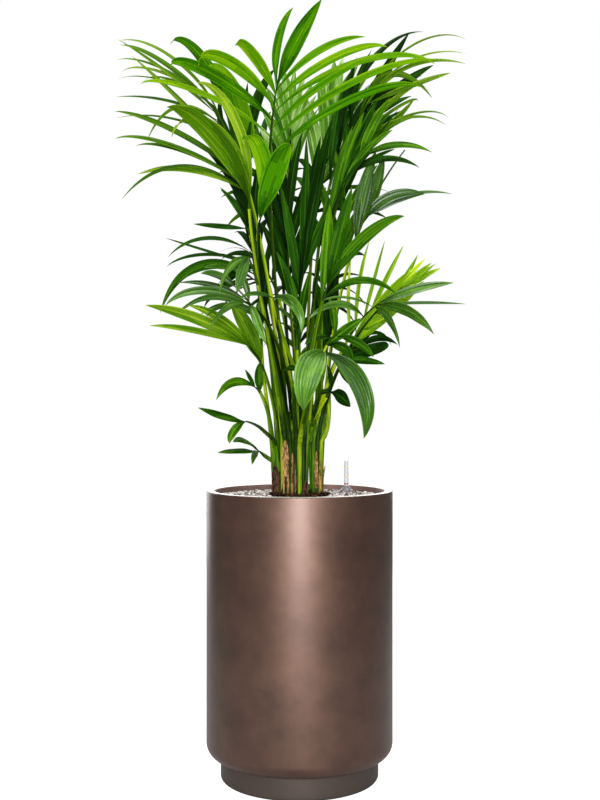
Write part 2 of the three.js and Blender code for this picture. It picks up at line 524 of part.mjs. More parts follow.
function ribRadii(petiole, rib) {
  const { lerp } = THREE.MathUtils;
  return [
    ...petiole.map((_, i) => lerp(FOOT_OF_PETIOLE, THROAT_OF_PETIOLE, i / PETIOLE_STEPS)),
    ...rib.slice(1).map((_, i) => (
      lerp(THROAT_OF_PETIOLE, END_OF_RIB, (i + 1) / (rib.length - 1))
    )),
  ];
}

// Beads along a petiole and rib, each with the radius there.
function beads(line, radii) {
  return line.slice(1).flatMap((point, i) => {
    const steps = Math.ceil(line[i].distanceTo(point) / BEAD_STEP);
    return Array.from({ length: steps }, (_, k) => ({
      place: line[i].clone().lerp(point, k / steps),
      radius: THREE.MathUtils.lerp(radii[i], radii[i + 1], k / steps),
    }));
  });
}

function beadGap(a, b) {
  let least = Infinity;
  for (const one of a) {
    for (const other of b) {
      const gap = one.place.distanceTo(other.place) - one.radius - other.radius;
      least = Math.min(least, gap);
    }
  }
  return least;
}

// Bows tried in turn until a petiole is clear of those set before it.
const BOWS = [0, 0.12, 0.24, 0.36, 0.5, 0.65].flatMap((size) => (size === 0 ? [[0, 0]] : [
  [size, 0], [-size, 0], [0, size], [0, -size],
  [size * 0.7, size * 0.7], [-size * 0.7, size * 0.7],
  [size * 0.7, -size * 0.7], [-size * 0.7, -size * 0.7],
]));

function setPetiole(foot, throat, end, before) {
  let best = null;
  for (const bow of BOWS) {
    const { petiole, rib } = midribs(foot, throat, end, bow);
    const line = [...petiole, ...rib.slice(1)];
    const radii = ribRadii(petiole, rib);
    const string = beads(line, radii);
    const gap = Math.min(...before.map((other) => beadGap(string, other)), Infinity);
    if (!best || gap > best.gap) best = { rib, line, radii, string, gap };
    if (gap > PETIOLE_GAP) break;
  }
  return best;
}

function pointOn(line, share) {
  const x = share * (line.length - 1);
  const i = Math.min(Math.floor(x), line.length - 2);
  const step = line[i + 1].clone().sub(line[i]);
  return { place: along(line[i], step, x - i), tangent: step.normalize() };
}

function tipAt(tips, t) {
  if (tips.length === 1) return vector(tips[0]);
  if (tips.length === 2) return vector(tips[0]).lerp(vector(tips[1]), t);
  return vector(tips[0]).multiplyScalar((1 - t) * (1 - 2 * t))
    .addScaledVector(vector(tips[1]), 4 * t * (1 - t))
    .addScaledVector(vector(tips[2]), t * (2 * t - 1));
}

// The leaflets of a frond: where each is rooted, its tip, width, arch and twist.
function leafletsOf(fans, rib, seed) {
  const random = seeded(seed);
  return fans.flatMap(({ count, from, to, width, arch, hook, tips }) => (
    Array.from({ length: count }, (_, k) => {
      const t = count > 1 ? k / (count - 1) : 0;
      const vary = count > 1 ? 1 : 0;
      const { place, tangent } = pointOn(rib, from + (to - from) * t);
      const tip = tipAt(tips, t);
      const spread = place.distanceTo(tip) * 0.07 * vary;
      tip.x += (random() - 0.5) * spread;
      tip.y += (random() - 0.5) * spread;
      tip.z += (random() - 0.5) * spread;
      return {
        root: place,
        tangent,
        tip,
        hook,
        width: width * (1 + vary * 0.2 * (random() - 0.5)),
        arch: arch * (1 + vary * 0.4 * (random() - 0.5)),
        twist: (random() - 0.5) * 0.6,
      };
    })
  ));
}

// The way a blade faces: square to its rib and leaflets, then turned.
function facing(leaflets, throat, end, turnDegrees) {
  const outward = new THREE.Vector3(throat.x, throat.y, 0).normalize();
  const inward = along(UP, outward, -0.6).normalize();
  const face = inward.clone().multiplyScalar(0.15);
  for (const leaflet of leaflets) {
    const chord = leaflet.tip.clone().sub(leaflet.root).normalize();
    const square = leaflet.tangent.clone().cross(chord);
    face.addScaledVector(square, square.dot(inward) < 0 ? -1 : 1);
  }
  const axis = end.clone().sub(throat).normalize();
  return face.normalize().applyAxisAngle(axis, THREE.MathUtils.degToRad(turnDegrees));
}

// A leaflet's width along its length, as a share of its greatest width.
function widthShare(s, rootShare) {
  if (s < 0.3) return 1 - (1 - rootShare) * (1 - s / 0.3) ** 2;
  return 1 - ((s - 0.3) / 0.7) ** 1.8;
}

// One leaflet: a three-sided blade with a keel, swept along its arch.
function blade(leaflet, face) {
  const { root, tip, tangent, width, arch, hook, twist } = leaflet;
  const chord = tip.clone().sub(root);
  const length = chord.length();
  const direction = chord.clone().normalize();
  const lift = along(UP, tangent, 0.7);
  lift.addScaledVector(direction, -lift.dot(direction)).normalize();
  const control = [
    root,
    along(along(root, chord, 0.33), lift, arch * length),
    along(along(root, chord, 0.72 + hook), lift, arch * length * 0.9),
    tip,
  ];
  const curve = new THREE.CubicBezierCurve3(...control);
  const square = along(face, direction, -face.dot(direction)).normalize();
  const across = direction.clone().cross(square).applyAxisAngle(direction, twist);
  const rootShare = LEAF_ROOT / width;
  const thickness = Math.max(length * LEAF_THICKNESS, 1);
  const stations = length > LONG_LEAFLET ? [0, 0.2, 0.45, 0.72] : [0, 0.3, 0.65];
  const points = [];
  for (const s of stations) {
    const heading = curve.getTangent(s);
    const side = along(across, heading, -across.dot(heading)).normalize();
    const keel = side.clone().cross(heading).normalize();
    const half = (width / 2) * widthShare(s, rootShare);
    const centre = curve.getPoint(s);
    if (s === 0) centre.addScaledVector(tangent, -2);
    const depth = s === 0 ? LEAF_ROOT : thickness * widthShare(s, 1);
    points.push(
      along(centre, side, half).addScaledVector(keel, depth * 0.25).toArray(),
      along(centre, side, -half).addScaledVector(keel, depth * 0.25).toArray(),
      along(centre, keel, -depth * 0.75).toArray(),
    );
  }
  points.push(tip.toArray());
  const triangles = [[0, 2, 1]];
  for (let ring = 0; ring < stations.length - 1; ring += 1) {
    for (let side = 0; side < 3; side += 1) {
      const a = ring * 3 + side;
      const b = ring * 3 + ((side + 1) % 3);
      triangles.push([a, b, b + 3], [a, b + 3, a + 3]);
    }
  }
  const last = (stations.length - 1) * 3;
  for (let side = 0; side < 3; side += 1) {
    triangles.push([last + side, last + ((side + 1) % 3), points.length - 1]);
  }
  return outward(closedGeometry(points, triangles));
}

function outward(geometry) {
  if (volume(geometry) < 0) geometry.setIndex(Array.from(geometry.index.array).reverse());
  return geometry;
}

// A three-sided petiole and rib, with flat ends.
function rod(line, radii) {
  const points = [];
  let side = new THREE.Vector3(1, 0, 0);
  line.forEach((centre, i) => {
    const before = line[Math.max(i - 1, 0)];
    const after = line[Math.min(i + 1, line.length - 1)];
    const heading = i === 0 ? UP.clone() : after.clone().sub(before).normalize();
    side = along(side, heading, -side.dot(heading)).normalize();
    for (let corner = 0; corner < 3; corner += 1) {
      const arm = side.clone().applyAxisAngle(heading, (corner * 2 * Math.PI) / 3);
      points.push(along(centre, arm, radii[i]).toArray());
    }
  });
  const triangles = [[0, 2, 1]];
  for (let ring = 0; ring < line.length - 1; ring += 1) {
    for (let corner = 0; corner < 3; corner += 1) {
      const a = ring * 3 + corner;
      const b = ring * 3 + ((corner + 1) % 3);
      triangles.push([a, b, b + 3], [a, b + 3, a + 3]);
    }
  }
  const last = (line.length - 1) * 3;
  triangles.push([last, last + 1, last + 2]);
  return outward(closedGeometry(points, triangles));
}

// Feet of a palm's fronds on its flat top: the straightest in the middle, the
// rest in a ring, in the order of the way their petioles lean.
function feetOf(palm, fronds) {
  const lean = (frond) => {
    const throat = vector(frond[3]);
    return Math.hypot(throat.x - palm.x, throat.y - palm.y) / Math.max(50, throat.z - palm.top);
  };
  const azimuth = (frond) => Math.atan2(frond[3][1] - palm.y, frond[3][0] - palm.x);
  const [middle, ...others] = [...fronds].sort((a, b) => lean(a) - lean(b));
  others.sort((a, b) => azimuth(a) - azimuth(b));
  const place = (x, y) => new THREE.Vector3(x, y, palm.top + CLEARANCE);
  const feet = new Map([[middle[0], place(palm.x, palm.y)]]);
  const ring = footRing(others.length);
  const turn = (start, i) => start + (2 * Math.PI * i) / others.length;
  const misfit = (start) => others.reduce((sum, frond, i) => {
    const gap = turn(start, i) - azimuth(frond);
    return sum + Math.abs(Math.atan2(Math.sin(gap), Math.cos(gap)));
  }, 0);
  const starts = Array.from({ length: 72 }, (_, i) => (i * Math.PI) / 36);
  const best = starts.reduce((a, b) => (misfit(b) < misfit(a) - 1e-9 ? b : a));
  others.forEach((frond, i) => {
    const angle = turn(best, i);
    feet.set(frond[0], place(
      palm.x + ring * Math.cos(angle),
      palm.y + ring * Math.sin(angle),
    ));
  });
  return feet;
}

function boxesMeet(a, b) {
  return [0, 1, 2].every((i) => a.min[i] - 1 < b.max[i] && b.min[i] - 1 < a.max[i]);
}

function clearOf(solid, owner, placed) {
  const box = solid.boundingBox();
  return placed.every((other) => (
    other.owner === owner
    || !boxesMeet(box, other.box)
    || solid.minGap(other.solid, 1) > LEAF_GAP
  ));
}

// Ways a leaflet may swing aside, in millimetres of its tip across the blade
// and along the rib, before it is left out.
const SWINGS = [
  [0, 0], [10, 0], [-10, 0], [0, 10], [0, -10], [20, 0], [-20, 0], [0, 20], [0, -20],
  [20, 20], [-20, -20], [20, -20], [-20, 20], [35, 0], [-35, 0], [0, 35], [0, -35],
  [50, 0], [-50, 0],
];

function growFronds() {
  const placed = [];
  const strings = [];
  const grown = [];
  const feet = new Map();
  const crowd = {};
  for (const [name, palm] of Object.entries(PALMS)) {
    const own = FRONDS.filter((frond) => frond[1] === name);
    crowd[name] = own.length - 1;
    for (const [frond, foot] of feetOf(palm, own)) feet.set(frond, foot);
  }
  FRONDS.forEach(([name, , tone, throatPlace, endPlace, turn, ...fans], index) => {
    const throat = vector(throatPlace);
    const end = vector(endPlace);
    const { rib, line, radii, string } = setPetiole(feet.get(name), throat, end, strings);
    strings.push(string);
    const solid = toSolid(rod(line, radii));
    placed.push({ owner: name, solid, box: solid.boundingBox() });
    const leaflets = leafletsOf(fans, rib, 1000 + index);
    const face = facing(leaflets, throat, end, turn);
    grown.push({ name, tone, leaflets, face, pieces: [solid] });
  });
  for (const frond of grown) {
    for (const leaflet of frond.leaflets) {
      for (const [across, forward] of SWINGS) {
        const tip = along(leaflet.tip, frond.face, across).addScaledVector(leaflet.tangent, forward);
        const solid = toSolid(blade({ ...leaflet, tip }, frond.face));
        if (clearOf(solid, frond.name, placed)) {
          placed.push({ owner: frond.name, solid, box: solid.boundingBox() });
          frond.pieces.push(solid);
          break;
        }
      }
    }
  }
  return { grown, crowd };
}

// Fuses a frond and keeps its outer skin, without sealed hollows or scraps.
function fused(pieces) {
  const parts = wasm.Manifold.union(pieces).decompose();
  return parts.reduce((a, b) => (b.volume() > a.volume() ? b : a));
}

// ---- the plant -----------------------------------------------------------------------

const plant = new THREE.Group();

function add(name, geometry, material) {
  const mesh = new THREE.Mesh(geometry, material);
  mesh.name = name;
  plant.add(mesh);
  return mesh;
}

add('planter', planter(), BRONZE);
add('growing_medium', growingMedium(), SOIL);
add('pebble_bed', pebbleBed(), PEBBLES);
add('gauge_base', gaugeBase().translate(GAUGE_PLACE.x, GAUGE_PLACE.y, 0), CLEAR);
add('gauge_tube', gaugeTube().translate(GAUGE_PLACE.x, GAUGE_PLACE.y, 0), CLEAR);

const { grown, crowd } = growFronds();
for (const [name, palm] of Object.entries(PALMS)) {
  add(`stem_${name}`, stem(palm, crowd[name]), STEM);
}
for (const { name, tone, pieces } of grown) {
  add(`frond_${name}`, toGeometry(fused(pieces)), LEAF_TONES[tone]);
}

export default plant;
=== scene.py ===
# A kentia palm in a round planter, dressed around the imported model.
# Sizes are real and in millimetres, +Z up, with the origin in the middle of the planter's
# underside, and -Y is the front. Meshes are turned to metres as they are made.
from math import atan2, ceil, cos, hypot, inf, pi, radians, remainder, sin
from types import SimpleNamespace

import bmesh
import bpy
import numpy as np
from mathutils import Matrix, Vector, noise

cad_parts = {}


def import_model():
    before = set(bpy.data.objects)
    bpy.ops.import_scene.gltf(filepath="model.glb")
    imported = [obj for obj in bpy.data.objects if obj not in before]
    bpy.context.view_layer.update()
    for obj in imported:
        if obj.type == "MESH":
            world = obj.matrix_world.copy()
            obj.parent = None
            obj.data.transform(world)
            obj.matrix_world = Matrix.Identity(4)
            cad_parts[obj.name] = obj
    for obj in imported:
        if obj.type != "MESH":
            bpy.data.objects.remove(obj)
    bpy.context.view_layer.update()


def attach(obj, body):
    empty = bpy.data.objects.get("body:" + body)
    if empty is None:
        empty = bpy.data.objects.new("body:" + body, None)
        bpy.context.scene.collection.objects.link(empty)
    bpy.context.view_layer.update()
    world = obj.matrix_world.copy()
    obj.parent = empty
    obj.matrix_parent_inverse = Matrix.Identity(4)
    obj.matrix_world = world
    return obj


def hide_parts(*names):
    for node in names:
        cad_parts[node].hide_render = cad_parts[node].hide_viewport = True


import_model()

MM = 0.001
UP = np.array([0.0, 0.0, 1.0])

# ---- driving dimensions, as in the part's source ----

PLANTER_RADIUS = 195
PLANTER_HEIGHT = 600
RIM_WIDTH = 18
LOWER_ROUND = 29
FOOT_RADIUS = 165
FOOT_HEIGHT = 48
FOOT_ROUND = 8
INNER_RADIUS = PLANTER_RADIUS - RIM_WIDTH
CLEARANCE = 0.3
SOIL_TOP = 575
MOUND_TOP = 594
MOUND_TOP_RADIUS = 60
MOUND_FOOT_RADIUS = 66
PEBBLE_TOP = 589

GAUGE_X, GAUGE_Y = 102, 100
GAUGE_BASE_RADIUS = 15
GAUGE_NECK_RADIUS = 5.2
GAUGE_BASE_HEIGHT = 13
GAUGE_TUBE_RADIUS = 4.7
GAUGE_TOP = 657

FOOT_OF_PETIOLE = 3.4  # radii
THROAT_OF_PETIOLE = 2.8
END_OF_RIB = 1.8
PETIOLE_SPACING = 8.8
PETIOLE_STEPS = 5
RIB_STEP = 45
PETIOLE_GAP = 1.3
BEAD_STEP = 4

# Each palm of the clump: x, y, radius at the soil, and where its sheaths part.
PALMS = {
    "left": (-45, 10, 11, 650),
    "front": (-26, -18, 13, 700),
    "middle": (5, -26, 13, 690),
    "right": (35, 12, 14, 700),
    "back": (2, 36, 14, 690),
}

# Each frond: name, palm, tone, throat, end of the rib and turn of the blade's face, then its
# leaflets. A leaflet is its place on the rib, width, arch and hook, and its tip's x, y and z.
# A row of leaflets has a count with its first and last place, and two or three tips for a
# line or curve. Places, arches and hooks are in percent, of the rib or the leaflet.
FRONDS = [
    # crown
    ("top_centre", "front", "bright", (-60, -90, 1275), (-45, -95, 1425), 0,
     (0, 16, 17, 20, 233, -270, 1370), (20, 15, 14, 10, 261, -235, 1435),
     (40, 15, 9, 10, 152, -250, 1441), (60, 16, 21, 15, 263, -200, 1435),
     (75, 17, 16, 15, 168, -215, 1465), (90, 16, 18, 5, 129, -185, 1494),
     (30, 12, 15, 20, -309, -190, 1401), (50, 25, 16, 40, -245, -215, 1426),
     (68, 26, 27, 40, -191, -235, 1424), (85, 24, 20, 40, -122, -215, 1466),
     (100, 18, 22, 12, -12, -118, 1574), (100, 33, 5, 0, 45, -105, 1595)),
    ("front_pair", "front", "bright", (-79, -190, 1124), (-75, -191, 1141), 0,
     (100, 36, 34, 50, -111, -225, 1285), (100, 46, 8, 25, -18, -240, 1274)),
    ("left_high", "front", "olive", (-105, -20, 1220), (-180, 10, 1405), 0,
     (0, 9, 31, 0, -350, -160, 1181), (0, 15, 17, 0, -323, -130, 1237), (5, 9, 15, 15, -334, -70, 1307),
     (5, 11, 15, 15, -370, -120, 1310), (15, 13, 11, 10, -375, -90, 1373), (30, 12, 3, 0, -354, 0, 1513),
     (50, 7, 16, 0, -386, 0, 1381), (70, 8, 56, 0, -320, -20, 1322), (80, 7, 12, 0, -386, 0, 1425),
     (80, 8, 22, 15, -380, 10, 1546), (85, 12, 14, 15, -380, 20, 1540), (90, 9, 4, 5, -386, 20, 1553),
     (95, 8, 17, 15, -388, 30, 1511), (95, 8, 21, 20, -378, 30, 1486), (100, 6, 16, 10, -388, 40, 1474),
     (100, 9, 20, 30, -330, 40, 1469)),
    ("left_broad", "front", "olive", (-100, -125, 1170), (-100, -130, 1185), 0,
     (100, 40, 19, 20, -251, -250, 1341), (50, 20, 52, 50, -247, -205, 1291),
     (100, 21, 24, 20, -208, -110, 1425)),
    ("left_back_dark", "back", "bright", (-110, 95, 1215), (-135, 100, 1315), -35,
     (80, 27, 22, 40, -284, 110, 1568), (50, 48, 26, 40, -212, 100, 1512),
     ((3, 0, 100), 24, 10, 0, (-230, 130, 1405), (-165, 155, 1450), (-120, 170, 1440))),
    ("back_small", "back", "dark", (-100, 130, 1210), (-115, 130, 1320), 0,
     (100, 27, 12, 10, -55, 130, 1520), ((2, 0, 100), 16, 8, 0, (-155, 145, 1345), (-120, 145, 1490))),
    ("back_pale_left", "back", "pale", (-20, 145, 1265), (-20, 160, 1395), 0,
     ((5, 0, 100), 28, 8, 0, (-100, 170, 1410), (-70, 185, 1490), (-35, 205, 1550)),
     ((5, 0, 100), 20, 8, 0, (50, 170, 1440), (30, 185, 1500), (-5, 205, 1540))),
    ("back_pale_right", "back", "pale", (40, 145, 1255), (75, 160, 1425), 0,
     ((5, 0, 100), 24, 6, 0, (0, 180, 1455), (35, 185, 1510), (75, 205, 1560)),
     ((5, 0, 100), 24, 8, 0, (190, 180, 1485), (160, 185, 1530), (95, 205, 1570))),
    ("right_dark", "right", "dark", (65, 60, 1250), (150, 80, 1450), 0,
     ((3, 0, 60), 16, 10, 0, (105, 90, 1505), (130, 95, 1530), (160, 90, 1545)),
     (20, 14, 12, 0, 153, 90, 1476), (30, 16, 25, 15, 272, 100, 1593), (45, 23, 8, 0, 190, 70, 1480),
     (70, 20, 1, 0, 240, 90, 1590), (90, 18, 3, 0, 205, 85, 1512), (50, 22, 7, 10, 290, 70, 1512),
     ((3, 10, 80), 17, 10, 5, (225, 55, 1410), (245, 55, 1445), (262, 60, 1480))),
    ("right_high", "right", "olive", (72, 10, 1210), (140, 0, 1410), -60,
     (0, 8, 22, 20, 267, -10, 1378), (20, 8, 33, 15, 310, 0, 1364), (30, 6, 25, 20, 314, 0, 1381),
     (40, 16, -5, 5, 244, 20, 1428), (50, 9, 13, 40, 249, 0, 1414), (50, 14, 9, 10, 240, 20, 1449),
     (100, 12, 3, 10, 317, -10, 1473), (80, 15, 64, 10, 281, 10, 1423), (90, 10, 27, 0, 352, 10, 1497),
     (90, 5, 26, 5, 352, 0, 1515), (100, 6, 29, 15, 350, 0, 1545)),
    ("right_mid", "middle", "mid", (60, -60, 1145), (140, -90, 1305), 0,
     ((4, 0, 80), 19, 5, 0, (110, -60, 1345), (150, -90, 1385), (185, -95, 1400)),
     (30, 21, 10, 5, 193, -90, 1379), (50, 8, 1, 0, 200, -100, 1377),
     ((3, 0, 80), 14, 10, 0, (140, -105, 1290), (165, -105, 1315), (185, -100, 1330))),
    ("right_arcs", "right", "mid", (80, 30, 1205), (130, 20, 1300), 0,
     (100, 17, 22, 0, 281, 10, 1310), (60, 16, 27, 0, 253, 0, 1276), (80, 9, 4, 10, 202, 20, 1320),
     ((2, 30, 70), 10, 8, 0, (165, 40, 1335), (190, 40, 1360))),
    ("right_thin_rib", "right", "glossy", (118, 10, 1125), (222, 10, 1316), 30,
     (22, 9, 18, 0, 321, -10, 1219), (22, 31, 20, 0, 262, -10, 1219), (0, 29, 8, 0, 163, 30, 1320),
     (15, 30, -5, 0, 181, 50, 1312), (0, 10, 2, 0, 130, -10, 1225)),
    ("right_broad", "middle", "mid", (45, -150, 985), (55, -150, 1010), 0,
     (100, 26, 17, 12, 200, -235, 1138), (100, 32, 0, 0, 102, -185, 1202), (0, 26, 3, 0, 60, -125, 1180),
     (0, 15, 32, 0, 192, -200, 990)),
    ("right_fill", "right", "mid", (82, 60, 1050), (95, 65, 1215), 0,
     ((4, 0, 100), 20, 6, 0, (10, 40, 1205), (40, 50, 1325), (100, 60, 1415)),
     ((4, 0, 100), 18, 8, 5, (125, 40, 1165), (160, 50, 1260), (170, 60, 1370))),
    ("left_fill", "front", "dark", (-95, 60, 1120), (-140, 80, 1235), 0,
     ((4, 0, 100), 16, 14, 10, (-168, 60, 1243), (-215, 80, 1365), (-205, 90, 1445)),
     ((4, 0, 100), 20, 6, 0, (-80, 80, 1330), (-115, 100, 1420), (-170, 95, 1470))),
    # middle
    ("centre_dark", "middle", "dark", (0, -40, 995), (5, -40, 1045), 0,
     (100, 28, 2, 0, 14, -30, 1335), ((2, 0, 100), 26, 3, 0, (40, -20, 1340), (70, -10, 1375)),
     ((2, 0, 100), 20, 3, 0, (-45, 20, 1245), (95, 20, 1255))),
    ("centre_back_dark", "back", "dark", (-20, 60, 1005), (-25, 70, 1145), 0,
     ((4, 0, 100), 24, 6, 0, (-80, 80, 1180), (-95, 90, 1290), (-60, 100, 1370)),
     ((4, 0, 100), 24, 6, 0, (50, 80, 1170), (60, 90, 1290), (0, 100, 1370))),
    ("centre_blade", "middle", "mid", (-5, -100, 890), (-5, -100, 920), 0,
     (100, 24, 8, 0, -45, -110, 1085), (0, 24, 6, 0, 22, -60, 1060)),
    ("left_mid_high", "left", "mid", (-85, 35, 1030), (-105, 25, 1105), 0,
     (0, 5, 50, 5, -175, 60, 1107), (10, 14, 29, 0, -254, -30, 1030), (30, 20, 39, 0, -288, -40, 967),
     (60, 8, 19, 10, -281, 10, 1069), (60, 7, 0, 10, -284, 30, 1133), (100, 10, 28, 5, -280, 30, 1091),
     ((3, 20, 90), 15, 20, 10, (-210, 60, 985), (-180, 60, 1010), (-150, 50, 1030))),
    ("left_mid", "left", "glossy", (-75, -25, 935), (-130, -45, 1020), 0,
     (20, 13, 30, 0, -204, -60, 963), (30, 14, 32, 0, -252, -90, 959), (50, 18, 26, 10, -273, -80, 980),
     (70, 14, 13, 0, -249, -60, 1029),
     ((3, 20, 100), 16, 18, 10, (-75, -60, 995), (-140, -40, 1065), (-205, -40, 1050))),
    ("left_spikes", "left", "dark", (-105, 40, 1140), (-110, 40, 1155), 0,
     (100, 12, 0, 0, -228, 50, 1166), (100, 12, 7, 0, -170, 40, 1243), (100, 11, 13, 0, -146, 30, 1235)),
    ("left_edge", "left", "dark", (-80, 14, 905), (-78, 16, 955), 0,
     (100, 32, 9, 0, -107, 24, 1152), (50, 24, 0, 0, -66, 24, 1125)),
    ("right_edge", "right", "dark", (56, 34, 875), (58, 36, 905), 0,
     (100, 32, 2, 0, 80, 30, 1070), (30, 34, 2, 0, 30, 30, 1050)),
    ("left_lime", "left", "olive", (-74, -30, 850), (-104, -60, 900), 45,
     (100, 14, 6, 5, -298, -140, 936), (100, 25, 8, 0, -306, -140, 977),
     (100, 19, 13, 5, -224, -110, 979), (20, 38, 6, 10, -142, -60, 990)),
    ("front_droop_high", "front", "glossy", (-82, -165, 1015), (-98, -205, 1065), -15,
     (100, 19, 28, 0, -151, -245, 989), (100, 24, 10, 0, -118, -250, 990),
     (50, 12, 6, 20, -180, -240, 1040)),
    ("front_droop_low", "front", "glossy", (-60, -150, 935), (-105, -190, 980), 0,
     (100, 23, 22, 0, -173, -240, 918), (80, 18, 30, 10, -63, -240, 893),
     (20, 12, 30, 10, -180, -225, 945)),
    ("front_small", "middle", "glossy", (-40, -200, 945), (-50, -205, 985), 0,
     (100, 14, 25, 10, -15, -240, 965), (100, 24, 44, 10, 3, -245, 916), (60, 10, 12, 0, -5, -240, 928),
     (100, 10, 20, 10, -115, -240, 980)),
    ("right_arching", "right", "glossy", (98, -42, 910), (155, -110, 980), -75,
     (95, 24, 19, 0, 196, -175, 890), (100, 30, 20, 0, 263, -175, 916), (100, 7, 3, 0, 330, -150, 978),
     (100, 19, 8, 0, 306, -140, 1021), (60, 16, 35, 0, 17, -125, 949), (90, 6, 18, 10, 45, -140, 985)),
    ("right_lime_fan", "right", "lime", (100, 0, 890), (215, 0, 1025), 0,
     (10, 8, -5, 0, 109, 10, 1090), (20, 9, -8, 0, 149, 15, 1129), (30, 9, -10, 5, 181, 20, 1128),
     (40, 12, 3, 5, 221, 20, 1117), (70, 12, -5, 0, 251, 20, 1098),
     ((4, 75, 100), 15, 2, 0, (268, 10, 1085), (280, 5, 1078), (294, 0, 1066)),
     ((4, 30, 100), 17, 4, 0, (185, -10, 960), (230, -10, 1015), (278, 0, 1056)),
     (20, 27, 14, 5, 238, 0, 1009), (0, 28, 2, 0, 232, 0, 1062), (10, 26, 0, 0, 262, 0, 1040)),
    ("right_low_dark", "right", "dark", (80, 8, 875), (122, 0, 895), 50,
     (0, 27, -2, 30, 185, -20, 906), (0, 18, 5, 0, 177, -40, 863), (100, 15, 30, 0, 209, 30, 906),
     (50, 9, 50, 15, 197, 40, 904), (50, 20, 10, 0, 160, 40, 940), (0, 28, 10, 0, 104, -30, 820)),
    ("right_low_mid", "middle", "mid", (55, -90, 900), (85, -100, 930), 70,
     (0, 24, 4, 0, 127, -110, 953), (0, 21, 24, 10, 104, -140, 866), (50, 18, 10, 0, 60, -60, 1000),
     (50, 16, 20, 10, 10, -110, 900), (60, 18, 16, 0, 148, -120, 874)),
    # low
    ("front_broad_pair", "middle", "glossy", (40, -225, 860), (46, -232, 878), -30,
     (100, 54, 50, 10, 8, -290, 769), (100, 38, 34, 5, 119, -290, 717)),
    ("low_left_pair", "left", "mid", (-82, -20, 805), (-92, -22, 815), 60,
     (100, 19, 31, 0, -168, -100, 788), (0, 20, 2, 0, -84, -30, 866), (100, 9, 2, 0, -112, -50, 852)),
    ("low_left_long", "left", "mid", (-77, -36, 728), (-110, -54, 745), 0,
     (100, 20, -2, 0, -204, -110, 774), (100, 18, 17, 20, -140, -110, 702)),
    ("low_left_small", "left", "mid", (-74, 14, 672), (-84, 6, 681), 0,
     (100, 22, 16, 0, -134, -100, 704), (100, 15, 3, 0, -165, -110, 683),
     (100, 16, 10, 0, -96, -90, 658)),
    ("low_right_pair", "right", "dark", (55, -62, 795), (62, -66, 805), 40,
     (100, 30, 10, 0, 102, -110, 775), (100, 20, 15, 0, 35, -110, 800), (100, 18, 12, 0, 55, -90, 860)),
    ("centre_small", "middle", "mid", (-10, -140, 820), (-5, -145, 845), 0,
     (100, 22, 50, 25, -15, -190, 781), (100, 12, 20, 10, -30, -190, 845)),
    ("young_spear", "middle", "dark", (24, -46, 735), (28, -51, 750), 0,
     (100, 14, 0, 0, 40, -85, 805)),
    # back of the crown
    ("back_high_left", "back", "mid", (-55, 130, 1195), (-85, 195, 1310), 0,
     ((5, 10, 100), 17, 16, 5, (-175, 280, 1185), (-185, 325, 1335), (-120, 325, 1455)),
     ((5, 10, 100), 17, 16, 5, (25, 280, 1280), (0, 325, 1385), (-60, 330, 1480))),
    ("back_high_right", "back", "mid", (10, 130, 1185), (60, 195, 1300), 0,
     ((5, 10, 100), 17, 16, 5, (-35, 280, 1255), (-10, 325, 1360), (50, 325, 1455)),
     ((5, 10, 100), 17, 16, 5, (200, 270, 1210), (200, 315, 1335), (120, 325, 1440))),
    ("back_mid_left", "back", "dark", (-45, 120, 1010), (-105, 215, 1120), 0,
     ((5, 10, 100), 17, 20, 5, (-145, 240, 965), (-195, 310, 1055), (-150, 340, 1190)),
     ((5, 10, 100), 17, 20, 5, (-20, 280, 1045), (-40, 325, 1170), (-115, 340, 1255))),
    ("back_mid_right", "back", "dark", (50, 105, 985), (90, 210, 1095), 0,
     ((5, 10, 100), 17, 20, 5, (-20, 255, 1020), (0, 315, 1120), (75, 340, 1230)),
     ((5, 10, 100), 17, 20, 5, (135, 235, 965), (165, 310, 1065), (140, 340, 1205))),
    ("back_low", "back", "mid", (0, 95, 875), (-5, 195, 935), 0,
     ((4, 10, 100), 16, 22, 5, (-85, 255, 905), (-80, 315, 980), (-35, 340, 1030)),
     ((4, 10, 100), 16, 22, 5, (70, 245, 895), (85, 305, 965), (15, 340, 1030))),
]

# ---- camera ----

CAMERA_X, CAMERA_DISTANCE, CAMERA_HEIGHT = 1, 2462, 789
NEAREST, FURTHEST = 0.05, 60  # metres that the camera sees
SENSOR = 36
PHOTO_HEIGHT = 800
FOCAL_PIXELS = 1173


def placed(name, data):
    """A new object in the scene."""
    thing = bpy.data.objects.new(name, data)
    bpy.context.scene.collection.objects.link(thing)
    return thing


def camera():
    data = bpy.data.cameras.new("camera")
    data.sensor_width = SENSOR
    data.lens = SENSOR * FOCAL_PIXELS / PHOTO_HEIGHT
    data.clip_start, data.clip_end = NEAREST, FURTHEST
    thing = placed("camera", data)
    thing.location = (CAMERA_X * MM, -CAMERA_DISTANCE * MM, CAMERA_HEIGHT * MM)
    thing.rotation_euler = (pi / 2, 0, 0)
    bpy.context.scene.camera = thing


camera()

# ---- colours and materials ----

SHADES = 7  # steps from a tone's deepest green to its lightest
TIP = SHADES  # the tip's colour comes after them
TIP_ROUGHER = 0.15  # how much rougher a dried tip is than its leaf

